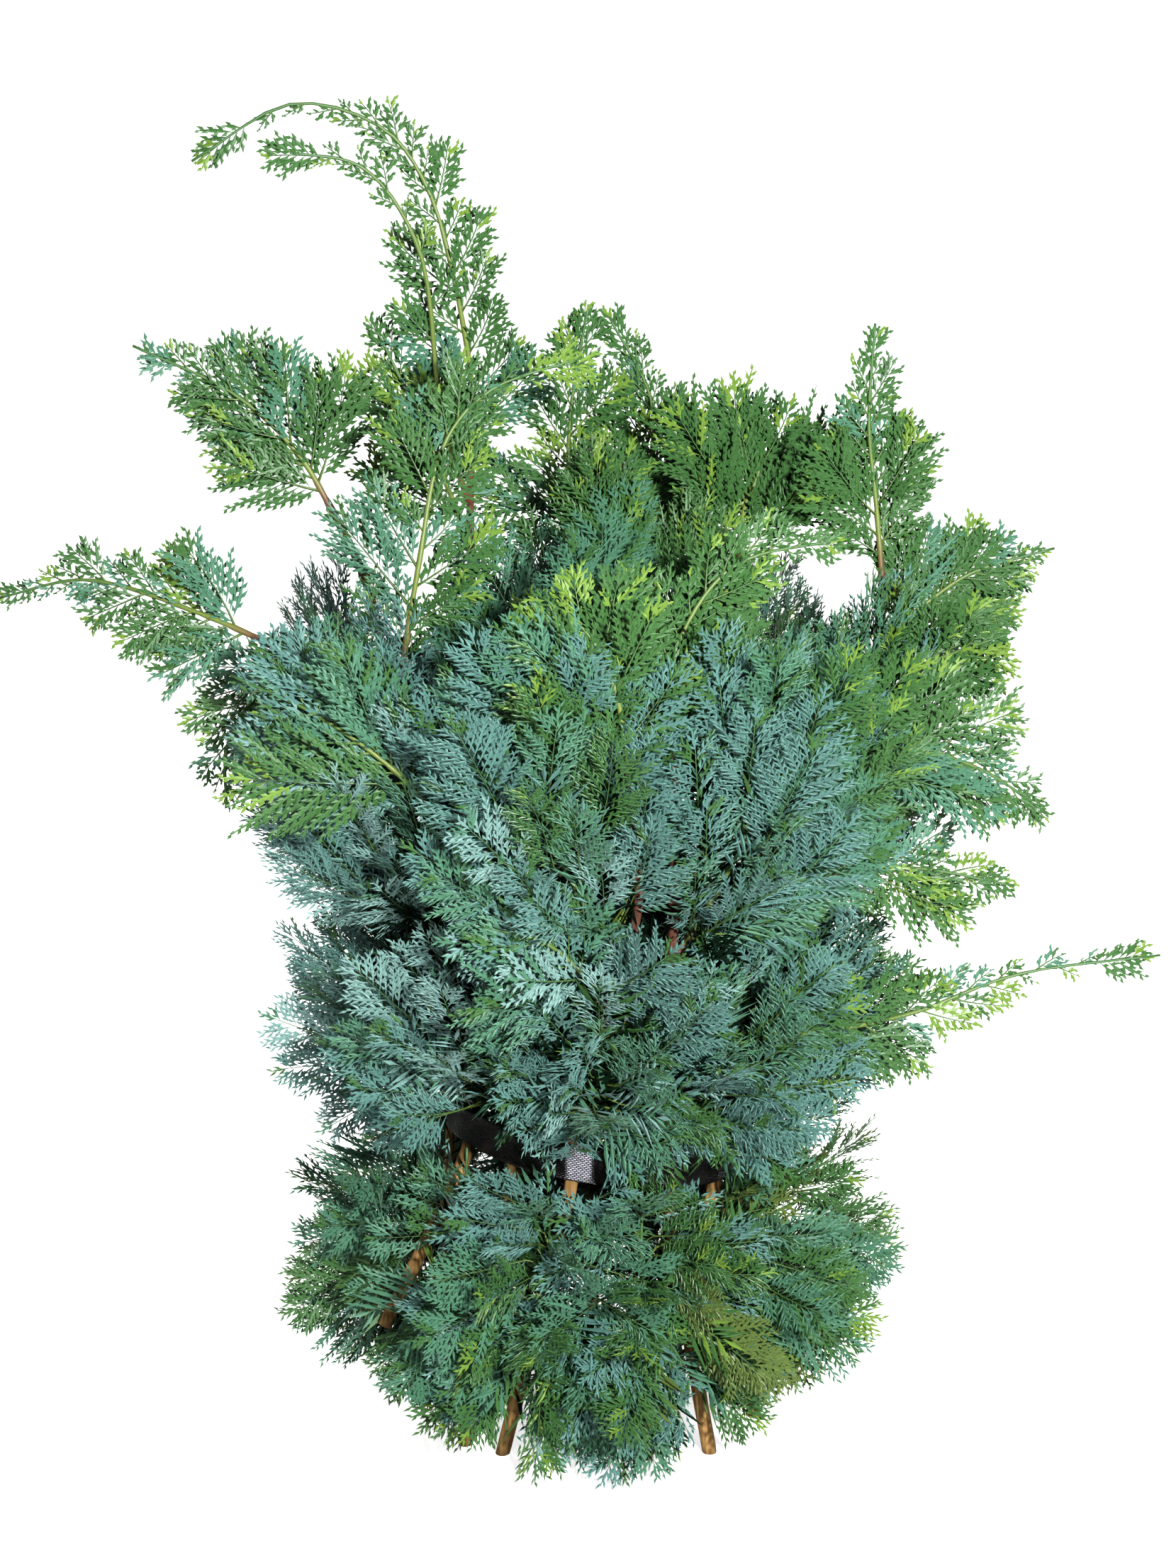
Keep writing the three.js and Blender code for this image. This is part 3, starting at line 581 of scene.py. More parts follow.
def grow_sheaf(sizes, depth=1.0):
    """All fronds of all masses in one set of arrays, with the number of the mass that each belongs to. With a
    depth under 1, only those of the dense masses."""
    masses = plan_masses()
    grown = []
    for index, mass in enumerate(masses):
        if depth < 1 and mass["core"] < INNER["core"]:
            continue
        times = sizes.plume if mass["plume"] else sizes.dense
        fronds = grow_fronds(mass, round(mass["count"] * mass.get("closer", 1) * times), depth)
        grown.append({**fronds, "mass": np.full(len(fronds["long"]), index)})
    grown += stem_fronds(masses, depth < 1)
    fronds = {key: np.concatenate([rows[key] for rows in grown]) for key in grown[0]}
    fronds = only(fronds, Air().clear(steps_along(fronds, np.linspace(0.15, 0.95, 9))))
    return masses, {**fronds, "kind": deal_kinds(masses, fronds)}


def deal_kinds(masses, fronds):
    """A colour for each frond, dealt by its mass's tint, its own seed and its place, as GREENER says."""
    kinds = np.zeros(len(fronds["long"]), int)
    x, z = fronds["root"][:, 0], fronds["root"][:, 2]
    crown = GREENER["right"] * np.clip(x / RIGHT_REACH, LEFT_MOST, 1) * np.where(fronds["plume"], 0.5, 1)
    crown = crown + GREENER["high"] * np.clip((z - HIGH_START) / HIGH_OVER, 0, 1)
    # Painted bounce light: right of the skirt's middle the deal leans a step further to green and olive than
    # at its left
    skirt = GREENER["skirt"] * np.clip(np.abs(x) / SKIRT_REACH, 0, 1) - GREENER["skirt_right_bounce"]
    skirt = skirt + GREENER["skirt_right_bounce"] * (x > BOUNCE_FROM_X)
    youth = np.where(fronds["plume"], GREENER["young"] * (fronds["share"] - 0.5), 0)
    shift = np.minimum(GREENER["most"], np.where(z < WAIST_HEIGHT, skirt, crown) + youth)
    luck = chance(fronds["seed"], 0, KIND)
    lot = luck + shift * np.where(shift > 0, 1 - luck, luck)
    for index, mass in enumerate(masses):
        shares = SHARES[mass["tint"]]
        own = fronds["mass"] == index
        steps = np.cumsum(list(shares.values()))
        numbers = np.array([KINDS.index(kind) for kind in shares])
        kinds[own] = numbers[np.minimum(np.searchsorted(steps, lot[own]), len(numbers) - 1)]
    return kinds


def on_strap(turn, radius, height):
    """Places round the leaning strap, for every one of these turns, radii and heights over its middle."""
    turn, radius, height = np.meshgrid(turn, radius, height, indexing="ij")
    x = radius * np.cos(turn)
    return np.stack([x, radius * np.sin(turn), strap_height(x) + height], axis=-1).reshape(-1, 3)


class Air:
    """Which places a leaf may not enter: a grid of small cubes, marked where one lies near a place on a stem,
    the bough or the strap, or in front of a stretch of them that shows from the front."""

    CELL, EDGE, BALL, ROOM, SIGHT = 3.0, 60, 9, 1.5, 90

    def __init__(self):
        low, high = np.array(CAD_BOX[0]) / MM - self.EDGE, np.array(CAD_BOX[1]) / MM + self.EDGE
        self.low = low
        self.taken = np.zeros(((high - low) / self.CELL).astype(int) + 1, bool)
        steps = np.arange(-self.BALL, self.BALL + 1, self.CELL)
        ball = np.stack(np.meshgrid(steps, steps, steps), axis=-1).reshape(-1, 3)
        for name, path in limb_paths().items():
            places = curve(path, np.linspace(0, 1, 260))
            stem = np.where(places[:, 2] < WAIST_HEIGHT, STEM_FOOT, STEM_WAIST)
            radius = np.broadcast_to(BOUGH_ENDS[0] if name in BOUGHS else stem, len(places))
            near = np.linalg.norm(ball, axis=1)[None] < radius[:, None] + self.ROOM
            self.mark((places[:, None] + ball[None])[near])
            for bottom, top in BARE_STEMS.get(name, []):
                self.sight(places[(places[:, 2] > bottom) & (places[:, 2] < top)], STEM_FOOT)
        for first, last, share in BARE_STRAP:
            turn = np.radians(np.linspace(first, last, 60))
            height = np.linspace(-share, share, 9) * STRAP_WIDTH
            self.sight(on_strap(turn, STRAP_INNER + STRAP_THICK, height), 0)
        radius = np.linspace(STRAP_INNER - 2, STRAP_INNER + 4, 4)
        height = np.linspace(-0.6, 0.6, 12) * STRAP_WIDTH
        self.mark(on_strap(np.linspace(0, 2 * np.pi, 500), radius, height))

    def cells(self, places):
        """The grid cell of each place, at the grid's edge where it lies beyond."""
        cells = ((places - self.low) / self.CELL).astype(int)
        return tuple(np.clip(cells, 0, np.array(self.taken.shape) - 1).T)

    def mark(self, places):
        """Marks the cells of these places."""
        self.taken[self.cells(places)] = True

    def sight(self, places, half):
        """Marks the cells between these places and the viewer, and up to half a width to either side."""
        ahead = BACK * np.arange(0, self.SIGHT, 0.7 * self.CELL)[:, None]
        beside = np.array([1, 0, 0]) * np.linspace(-half, half, 7 if half else 1)[:, None]
        self.mark((places[:, None, None] + ahead[None, :, None] + beside[None, None]).reshape(-1, 3))

    def clear(self, places):
        """Whether every one of the places in a row lies in free air. places is (rows, places, 3)."""
        return ~self.taken[self.cells(places.reshape(-1, 3))].reshape(places.shape[:2]).any(axis=1)

    def free(self, corners):
        """Whether each solid's middle and tip lie in free air above the ground. corners is (solids, 4, 3)."""
        taken = self.taken[self.cells(corners[:, 1])] | self.taken[self.cells(corners[:, 3])]
        return ~taken & (corners[:, :, 2].min(axis=1) > LEAF_GROUND)


def deal(counts):
    """For each child, which parent it has and its number there."""
    parent = np.repeat(np.arange(len(counts)), counts)
    return parent, np.arange(len(parent)) - (np.cumsum(counts) - counts)[parent]


def bowed(growth, which, share):
    """Places along fronds or branchlets, and their direction there: straight on from the root, bowed by the
    square of the share."""
    long, share = growth["long"][which][:, None], share[:, None]
    aim, bend = growth["aim"][which], growth["bend"][which]
    return growth["root"][which] + aim * share * long + bend * share**2 * long, unit(aim + 2 * bend * share)


def on_frond(fronds, which, share):
    """Places along fronds, and the directions along, across the flat and out of it there."""
    point, along = bowed(fronds, which, share)
    across = square_to(fronds["across"][which], along)
    return point, along, across, np.cross(along, across)


def steps_along(fronds, steps):
    """The places of every frond at each of these shares, as (fronds, steps, 3)."""
    every = np.arange(len(fronds["long"]))
    return np.stack([on_frond(fronds, every, np.full(len(every), step))[0] for step in steps], axis=1)


def on_branchlet(twigs, which, share):
    """Places along branchlets, and the directions along, across the flat and out of it there."""
    point, along = bowed(twigs, which, share)
    face = twigs["face"][which]
    return point, along, unit(np.cross(face, along)), face


def splayed(number, degrees, lift, along, across, face):
    """The way of each child: left and right in turn, opened by so many degrees and lifted out of the flat."""
    hand = np.where(number % 2 == 0, 1.0, -1.0)[:, None]
    opening = np.radians(degrees)[:, None]
    return unit(along * np.cos(opening) + across * hand * np.sin(opening) + face * lift[:, None])


def grow_branchlets(fronds, gap, width):
    """Branchlets of each frond, left and right in turn, in the frond's flat: longest a third of the way up,
    opening less towards the tip and curving forward. On a plume they differ more."""
    counts = np.maximum(5, (fronds["long"] / np.where(fronds["plume"], PLUME_GAP * gap, gap)).astype(int))
    parent, number = deal(counts)
    seed = fronds["seed"][parent]
    last = number == counts[parent] - 1
    share = np.where(last, 0.93, 0.05 + 0.92 * (number + 0.5) / counts[parent])
    point, along, across, face = on_frond(fronds, parent, share)
    plume = fronds["plume"][parent]
    opening = mixed(BRANCHLET_OPEN, share) - 8 * plume + WAVER * (chance(seed, number, BEND) - 0.5)
    lift = LIFTED * (chance(seed, number, TILT) - 0.5)
    way = splayed(number, np.where(last, 0, opening), lift, along, across, face)
    vary = np.where(plume, 0.9, 0.5)
    profile = np.sin(np.pi * share**0.75) ** 0.7 * (1 + vary * (chance(seed, number, VARY) - 0.5))
    long = fronds["long"][parent] * width / 0.7 * np.where(last, 0.5, 0.14 + profile)
    long = np.maximum(3, long * np.where(plume, PLUME_LONG, 1))
    older = fronds["kind"][parent]
    younger = np.array([KINDS.index(YOUNGER.get(kind, kind)) for kind in KINDS])[older]
    turns = chance(seed, number, YOUNG) < np.where(plume, 1.2, 0.6) * np.maximum(0, share - 0.5)
    return {
        "root": point, "aim": way, "bend": along * FORWARD, "face": face, "long": long,
        "seed": seed * 64 + number, "kind": np.where(turns, younger, older), "mass": fronds["mass"][parent],
        "stout": np.where(plume, PLUME_STOUT, 1.0),
    }


def leaf_solids(foot, middle, tip, across, face, width):
    """Closed pointed leaves of four faces: a keel from foot to tip, and a lower corner at each side."""
    wide, thick = across * width[:, None] / 2, face * (0.42 * width)[:, None]
    return np.stack([foot + thick / 2, middle + wide - thick / 2, middle - wide - thick / 2, tip], axis=1)


LEAF_FACES = np.array([(0, 1, 3), (0, 3, 2), (0, 2, 1), (1, 2, 3)])


def branchlet_leaves(twigs, most):
    """One long leaf solid down the middle of each branchlet, at most so wide."""
    every = np.arange(len(twigs["long"]))
    middle, _, across, face = on_branchlet(twigs, every, np.full(len(every), 0.5))
    tip = on_branchlet(twigs, every, np.ones(len(every)))[0]
    width = np.minimum(most * twigs["stout"], 0.4 * twigs["long"])
    return leaf_solids(twigs["root"], middle, tip, across, face, width), every


def side_leaves(twigs, sizes):
    """The pressed leaves down both sides of each branchlet, in its flat, longest near its middle."""
    gap = sizes.leaf_gap * np.sqrt(twigs["stout"])
    counts = np.maximum(2, (twigs["long"] * 0.9 * MM / gap).astype(int))
    parent, number = deal(counts)
    seed = twigs["seed"][parent]
    share = 0.12 + 0.8 * (number + 0.5) / counts[parent]
    foot, along, across, face = on_branchlet(twigs, parent, share)
    opening = mixed(LEAF_OPEN, share) + WAVER * (chance(seed, number, SPLAY) - 0.5)
    lift = LIFTED * (chance(seed, number, LIFT) - 0.4)
    way = splayed(number, opening, lift, along, across, face)
    size = np.minimum(1, twigs["long"][parent] / 13) * (0.5 + 0.5 * np.sin(np.pi * share**0.8))
    stout = twigs["stout"][parent]
    long = sizes.leaf_length / MM * size * (0.8 + 0.4 * chance(seed, number, SIZE)) / np.sqrt(stout)
    middle = foot + way * (0.5 * long)[:, None]
    tip = foot + (way + along * 0.25) * long[:, None]
    width = sizes.leaf_width / MM * (0.55 + 0.45 * size) * stout
    return leaf_solids(foot, middle, tip, unit(np.cross(face, way)), face, width), parent


def twig_paths(fronds):
    """The path of each frond's own twig: from its mass's axis out to its root and on along the frond."""
    share = np.linspace(0, 1, 4)[None, :, None]
    start, root = fronds["start"][:, None], fronds["root"][:, None]
    reach = np.linalg.norm(root - start, axis=2, keepdims=True)
    turn = root - fronds["aim"][:, None] * reach * 0.35
    inner = start * (1 - share) ** 2 + turn * 2 * share * (1 - share) + root * share**2
    return np.concatenate([inner, steps_along(fronds, np.linspace(0.2, 0.97, 4))], axis=1)


def spokes(side, out, turn):
    """The directions to each corner of a ring, at these turns from side towards out."""
    turn = turn[:, None]
    return side[..., None, :] * np.cos(turn) + out[..., None, :] * np.sin(turn)


def walls(rings, sides):
    """The triangles between rings of corners that are numbered ring by ring."""
    here, start = np.arange(sides), np.arange(rings - 1)[:, None] * sides
    one, two = (start + here).ravel(), (start + (here + 1) % sides).ravel()
    halves = [one, two, two + sides], [one, two + sides, one + sides]
    return np.concatenate([np.stack(half, 1) for half in halves])


def tubes(paths, radii, sides, up, along):
    """Closed rods with flat ends: a ring of corners square to each path at each of its places. paths is
    (rods, places, 3), radii (rods, places), up (rods, 3), and along is the map's height at each place."""
    rods, places = paths.shape[:2]
    way = unit(np.gradient(paths, axis=1))
    side = unit(np.cross(np.broadcast_to(up[:, None], way.shape), way))
    turn = np.linspace(0, 2 * np.pi, sides, endpoint=False)
    corners = paths[:, :, None] + spokes(side, np.cross(way, side), turn) * radii[:, :, None, None]
    fan = np.stack([np.zeros(sides - 2, int), np.arange(1, sides - 1), np.arange(2, sides)], 1)
    faces = np.concatenate([walls(places, sides), fan[:, ::-1], fan + (places - 1) * sides])
    map_up = np.broadcast_to(np.repeat(along, sides), (rods, places * sides)).ravel()
    mesh = copies(corners.reshape(rods, places * sides, 3), faces)
    return *mesh, np.stack([0 * map_up, map_up], 1)


def copies(corners, faces):
    """Corners and faces of many solids with the same faces, as one mesh."""
    offsets = np.arange(len(corners))[:, None, None] * corners.shape[1]
    return corners.reshape(-1, 3), (faces[None] + offsets).reshape(-1, 3)


def build(name, corners, faces, materials, smooth=True, uv=None, stuff=None):
    """A mesh object at the origin from corners in millimetres and triangles."""
    mesh = bpy.data.meshes.new(name)
    mesh.vertices.add(len(corners))
    mesh.vertices.foreach_set("co", (np.asarray(corners) * MM).astype(np.float32).ravel())
    mesh.loops.add(faces.size)
    mesh.loops.foreach_set("vertex_index", faces.astype(np.int32).ravel())
    mesh.polygons.add(len(faces))
    mesh.polygons.foreach_set("loop_start", np.arange(0, faces.size, 3, dtype=np.int32))
    mesh.polygons.foreach_set("use_smooth", np.full(len(faces), smooth))
    if stuff is not None:
        mesh.polygons.foreach_set("material_index", stuff.astype(np.int32))
    if uv is not None:
        layer = mesh.uv_layers.new(name="along")
        layer.data.foreach_set("uv", uv.reshape(-1, 2)[faces.ravel()].astype(np.float32).ravel())
    mesh.update(calc_edges=True)
    if mesh.validate():
        raise RuntimeError(f"{name} has faces that Blender had to mend")
    for material in materials:
        mesh.materials.append(material)
    piece = bpy.data.objects.new(name, mesh)
    bpy.context.scene.collection.objects.link(piece)
    return piece


def dress(piece, nodes):
    """Hangs a piece on the root and hides the solids of the nodes that it stands for."""
    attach(piece, "root")
    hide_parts(*nodes)


def add(tree, kind, inputs=None, **settings):
    """Adds a node with its settings; an input takes a value, or a link from another node's output."""
    node = tree.nodes.new(f"ShaderNode{kind}")
    for key, value in settings.items():
        setattr(node, key, value)
    for key, value in (inputs or {}).items():
        if isinstance(value, bpy.types.NodeSocket):
            tree.links.new(value, node.inputs[key])
        else:
            node.inputs[key].default_value = value
    return node


def blank(name, group="materials"):
    """An empty node material or world, and its tree."""
    made = getattr(bpy.data, group).new(name)
    made.use_nodes = True
    made.node_tree.nodes.clear()
    return made, made.node_tree


def finish(tree, inputs):
    """Adds the surface's shader with its inputs and joins it to the material's output."""
    shader = add(tree, "BsdfPrincipled", inputs)
    add(tree, "OutputMaterial", {"Surface": shader.outputs[0]})


def paint(name, shade=1):
    """A colour of the panel, made darker or lighter, with its alpha."""
    return (*(shade * part for part in getattr(bpy.context.scene.sheaf_colours, name)), 1)


def split(tree, vector, axis):
    """One part of a vector."""
    return add(tree, "SeparateXYZ", {"Vector": vector}).outputs[axis]


def remap(tree, value, old, new):
    """A value moved from one range to another and kept inside it."""
    inputs = {"Value": value, "From Min": old[0], "From Max": old[1], "To Min": new[0], "To Max": new[1]}
    return add(tree, "MapRange", inputs).outputs["Result"]


def blend(tree, factor, first, second, kind="MIX"):
    """Two colours mixed, or multiplied."""
    inputs = {"Factor": factor, "A": first, "B": second}
    return add(tree, "Mix", inputs, data_type="RGBA", blend_type=kind).outputs["Result"]


def ramp(tree, factor, *stops):
    """A colour ramp through these stops, each a place and what paint is given."""
    node = add(tree, "ValToRGB", {"Fac": factor})
    elements = node.color_ramp.elements
    while len(elements) < len(stops):
        elements.new(0.5)
    for element, (at, *tone) in zip(elements, stops):
        element.position = at
        element.color = paint(*tone)
    return node.outputs["Color"]


def scale_leaf(kind):
    """Scale leaf of a Lawson cypress, pressed flat, with a bloom of wax: a soft satin with little gloss."""
    material, tree = blank(f"scale_leaf_{kind}")
    waxy = kind in ("blue", "pale", "teal")
    # The painted-shade leaves get almost no gloss, so that they stay dark
    gloss = {"Roughness": 0.62 if waxy else 0.5, "Specular IOR Level": 0.08 if kind == "deep" else 0.4}
    bloom = {"IOR": 1.45, "Sheen Weight": 0.05 if waxy else 0.0, "Sheen Roughness": 0.4}
    finish(tree, {"Base Color": paint(kind), **gloss, **bloom})
    return material


def twig_bark():
    """Thin bark of the year's shoots: smooth and satin, red-brown at the root and green at the tip."""
    material, tree = blank("young_twig_bark")
    along = split(tree, add(tree, "UVMap", uv_map="along").outputs["UV"], "Y")
    tone = ramp(tree, along, (0.0, "red_bark"), (0.05, "red_bark"), (0.22, "twig"), (0.9, "green"))
    finish(tree, {"Base Color": tone, "Roughness": 0.5, "Specular IOR Level": 0.4})
    return material


def stem_bark():
    """Bark of cut branches: thin, fissured lengthwise, tan and dusty low down, red-brown above and green at
    the top, matt with a fine grain."""
    material, tree = blank("cypress_bark")
    where = add(tree, "TexCoord").outputs["Object"]
    stops = ((0.0, "bark"), (0.16, "bark"), (0.32, "red_bark"), (0.62, "red_bark"), (0.7, "twig"))
    tone = ramp(tree, split(tree, where, "Z"), *stops)
    # Fissures about 2 mm apart round the stem and 30 mm long
    stretch = add(tree, "Mapping", {"Vector": where, "Scale": (500, 500, 34)}).outputs["Vector"]
    grain = add(tree, "TexNoise", {"Vector": stretch, "Scale": 1.0, "Detail": 4.0}).outputs["Fac"]
    shade = blend(tree, 1, tone, remap(tree, grain, (0.35, 0.65), (0.45, 1)), "MULTIPLY")
    bump = add(tree, "Bump", {"Height": grain, "Strength": 0.6, "Distance": 0.0008}).outputs["Normal"]
    finish(tree, {"Base Color": shade, "Roughness": 0.82, "Specular IOR Level": 0.3, "Normal": bump})
    return material


def cut_wood():
    """Cut cypress wood: sawn pale and matt, with a darker fleck."""
    material, tree = blank("cut_cypress_wood")
    where = add(tree, "TexCoord").outputs["Object"]
    # Patches a millimetre or so across
    grain = add(tree, "TexNoise", {"Vector": where, "Scale": 700.0, "Detail": 2.0}).outputs["Fac"]
    finish(tree, {"Base Color": ramp(tree, grain, (0.3, "cut", 0.6), (0.7, "cut")), "Roughness": 0.85})
    return material


def polyester_webbing(rib):
    """Woven polyester webbing: dark, with rows of smooth round ribs that glint, and a painted highlight of
    pale silver on one short stretch where the light catches the weave. The gaps between the ribs are darker
    as painted shade."""
    material, tree = blank("polyester_webbing")
    uv = add(tree, "UVMap", uv_map="along").outputs["UV"]
    # The map is in metres, so a brick is one rib long and half as wide
    bricks = {"Vector": uv, "Scale": 1.0, "Brick Width": rib, "Row Height": rib * 0.5}
    bricks.update({"Mortar Size": rib * 0.22, "Mortar Smooth": 1.0})

    def weave(name, lighter, darker):
        """Rows of ribs in a colour, every other one lighter, and the gaps between ribs darker as painted
        shade.
        """
        tones = {"Color1": paint(name), "Color2": paint(name, lighter), "Mortar": paint(name, darker)}
        return add(tree, "TexBrick", {**bricks, **tones}).outputs

    # The second weave, in the pale painted-gleam colour, is the painted highlight
    plain, bright = weave("webbing", 1.5, 0.25), weave("gleam", 0.6, 0.12)
    # Painted highlight: near the middle of that stretch the weave is the pale one, fading back over a rib at
    # each end
    middle, half = (STRAP_INNER * MM * math.radians(part) for part in PAINTED_GLEAM)
    away = add(tree, "Math", {0: split(tree, uv, "X"), 1: middle}, operation="SUBTRACT").outputs["Value"]
    away = add(tree, "Math", {0: away}, operation="ABSOLUTE").outputs["Value"]
    near = remap(tree, away, (half - rib, half), (1, 0))
    tone = blend(tree, near, plain["Color"], bright["Color"])
    bump = {"Height": plain["Fac"], "Strength": 1.0, "Distance": 0.0014}
    bump = add(tree, "Bump", bump, invert=True).outputs["Normal"]
    finish(tree, {"Base Color": tone, "Roughness": 0.3, "Specular IOR Level": 1.0, "Normal": bump})
    return material


def ripples(turn, height, seed):
    """Bark relief from -1 to 1: a sum of waves round the stem and along it, each with a phase of its own."""
    waves = [(3, 1 / 60, 0.3), (5, 1 / 38, 0.28), (8, 1 / 22, 0.22), (2, 1 / 9, 0.12), (1, 1 / 14, 0.16)]
    total = 0
    for index, (lobes, pitch, depth) in enumerate(waves):
        phase = 2 * np.pi * chance(seed, index, PHASE)
        sway = 1.3 * np.sin(height / (31 + 5 * index) + phase)
        total = total + depth * np.sin(lobes * turn + 2 * np.pi * pitch * height + phase + sway)
    return total


def bark_rod(points, facing, radius_at, seed, ridge, sides=18, level=False):
    """A stem: rings of corners about 3 mm apart along its curve. Their radius is what radius_at says, times
    one plus the bark's ripples and a low swelling about every 30 mm, where a side twig was."""
    spread = curve_length(points, 100)
    t = np.linspace(0, 1, max(8, int(spread / 3)))
    point, _, side, out = frame_along(points, facing, t)
    distance = t * spread
    turn = np.linspace(0, 2 * np.pi, sides, endpoint=False)
    relief = 1 + ridge * (ripples(turn[None], distance[:, None], seed) - 0.5)
    knots = np.arange(12, spread, 30)
    knots = knots + 9 * chance(seed, np.arange(len(knots)), KNOT)
    for index, knot in enumerate(knots):
        towards = 2 * np.pi * chance(seed, index, SIDE)
        near = np.exp(-(((distance - knot) / 4.5) ** 2))[:, None]
        relief = relief + 2.2 * ridge * near * np.maximum(0, np.cos(turn[None] - towards)) ** 3
    radius = radius_at(t, point[:, 2])[:, None] * relief
    corners = point[:, None] + spokes(side, out, turn) * radius[:, :, None]
    if level:
        corners[0, :, 2] = 0
    places, top = len(t), (len(t) - 1) * sides
    corners = np.concatenate([corners.reshape(-1, 3), [corners[0].mean(axis=0)], [corners[-1].mean(axis=0)]])
    here, onward = np.arange(sides), (np.arange(sides) + 1) % sides
    wall = walls(places, sides)
    foot = np.stack([onward, here, np.full(sides, places * sides)], 1)
    head = np.stack([here + top, onward + top, np.full(sides, places * sides + 1)], 1)
    stuff = np.repeat([0, 1, 0], [len(wall), sides, sides])
    return corners, np.concatenate([wall, foot, head]), stuff


def stem_radius(top):
    """A stem's radius: an even taper from foot to waist, and another from the waist to its top."""

    def radius(t, height):
        below = STEM_FOOT + (STEM_WAIST - STEM_FOOT) * height / WAIST_HEIGHT
        above = STEM_WAIST + (STEM_TIP - STEM_WAIST) * (height - WAIST_HEIGHT) / (top - WAIST_HEIGHT)
        return np.where(height < WAIST_HEIGHT, below, above)

    return radius


def bough_radius(t, height):
    """A bough's radius: an even taper along it."""
    return mixed(BOUGH_ENDS, t)


def strap_band(rows=480, columns=12):
    """A closed band, as corners, faces and a map in metres. Its radius is the loop's, less a pull that grows
    as the square of the turn from the nearest stem, plus a thickness that thins at the edges and a wave that
    grows across it. Its height is the leaning loop's, with two waves."""
    turn = np.linspace(0, 2 * np.pi, rows, endpoint=False)
    stems = np.radians([stem["waist"] for stem in STEMS.values() if "waist" in stem])
    nearest = np.min(np.abs((turn[:, None] - stems[None] + np.pi) % (2 * np.pi) - np.pi), axis=1)
    pulled = 1.6 * np.minimum(1, nearest / 0.3) ** 2
    half = STRAP_WIDTH / 2
    across = np.concatenate([np.linspace(-half, half, columns), np.linspace(half, -half, columns)])
    outside = np.repeat([1, 0], columns)
    edge = 1 - 0.35 * (np.abs(across) / half) ** 6
    inner = STRAP_INNER * math.cos(math.pi / STRAP_TURNS)
    thick = STRAP_THICK * (0.5 + (outside - 0.5) * edge)
    sag = 0.5 * np.sin(3 * turn + 1)[:, None] + 0.4 * np.sin(7 * turn)[:, None]
    radius = inner - pulled[:, None] + thick[None] + 0.25 * np.sin(11 * turn)[:, None] * (across / half)[None]
    x, y = radius * np.cos(turn)[:, None], radius * np.sin(turn)[:, None]
    corners = np.stack([x, y, strap_height(x) + across[None] + sag], axis=2).reshape(-1, 3)
    here = np.arange(len(corners)).reshape(rows, -1)
    onward = np.roll(here, -1, axis=0)
    beside, beyond = np.roll(here, -1, axis=1), np.roll(onward, -1, axis=1)
    quads = np.stack([here, onward, beyond, beside], axis=2).reshape(-1, 4)
    faces = np.concatenate([quads[:, [0, 1, 2]], quads[:, [0, 2, 3]]])
    around, up = np.meshgrid(STRAP_INNER * MM * turn, across * MM, indexing="ij")
    return corners, faces, np.stack([around, up], axis=2)


class SHEAF_OT_stems(bpy.types.Operator):
    """Cut stems and the bough, with ridged bark and pale cut ends"""

    bl_idname = "sheaf.stems"
    bl_label = "Stems"

    def execute(self, context):
        woods = [stem_bark(), cut_wood()]

        def make(name, node, points, facing, radius_at, seed, **shape):
            """Makes the piece of one limb."""
            ridge = context.scene.sheaf_sizes.ridge
            corners, faces, stuff = bark_rod(points, facing, radius_at, seed, ridge, **shape)
            dress(build(name, corners, faces, woods, stuff=stuff), [node])

        paths = limb_paths()
        for index, (name, stem) in enumerate(STEMS.items()):
            facing = place(stem["waist"], 1, 0) if "waist" in stem else np.array([0, 1, 0])
            radius, level = stem_radius(paths[name][-1][2]), "hung" not in stem
            make(f"bark_{name}", f"stem_{name}", paths[name], facing, radius, STEM_SEED + index, level=level)
        for index, (name, way) in enumerate(BOUGHS.items()):
            settings = (way, np.array([0, 0, 1]), bough_radius, BOUGH_SEED + index)
            make(f"bark_bough_{name}", f"bough_{name}", *settings, sides=12)
        return {"FINISHED"}


class SHEAF_OT_strap(bpy.types.Operator):
    """Woven strap round the waist, pulled in between the stems"""

    bl_idname = "sheaf.strap"
    bl_label = "Strap"

    def execute(self, context):
        corners, faces, uv = strap_band()
        webbing = polyester_webbing(context.scene.sheaf_sizes.rib)
        dress(build("strap_webbing", corners, faces, [webbing], uv=uv), ["strap"])
        return {"FINISHED"}


class SHEAF_OT_twigs(bpy.types.Operator):
    """Axes of the masses and the twigs that carry the fronds"""

    bl_idname = "sheaf.twigs"
    bl_label = "Twigs"

    def execute(self, context):
        masses, fronds = grow_sheaf(context.scene.sheaf_sizes)
        places = 26
        t = np.linspace(0, 1, places)
        paths = np.stack([curve(mass["points"], t) for mass in masses])
        facing = np.stack([mass["facing"] for mass in masses])
        swell = 1 + 0.12 * np.sin(np.arange(places) * 2.1)[None]
        radii = mixed(AXIS_ENDS, t**0.6)[None] * swell * np.ones((len(masses), 1))
        axes = tubes(paths, radii, 7, facing, t)
        # The radius of a frond's twig at each of its eight places, and how far up it each is
        fine = np.array([0.8, 0.8, 0.8, 0.8, 0.6, 0.45, 0.35, 0.25])
        along = np.array([0.3, 0.32, 0.34, 0.5, 0.7, 0.8, 0.9, 1.0])
        radii = fine[None] * (0.7 + 0.3 * np.minimum(1, fronds["long"] / 60))[:, None]
        radii = radii * np.where(fronds["plume"], PLUME_TWIG, 1)[:, None]
        twigs = tubes(twig_paths(fronds), radii, 3, np.cross(fronds["aim"], fronds["across"]), along)
        corners, faces, uv = (np.concatenate(rows) for rows in zip(axes, twigs))
        faces[len(axes[1]) :] += len(axes[0])
        piece = build("young_twigs", corners, faces, [twig_bark()], uv=uv)
        dress(piece, [mass["node"] for mass in masses])
        return {"FINISHED"}


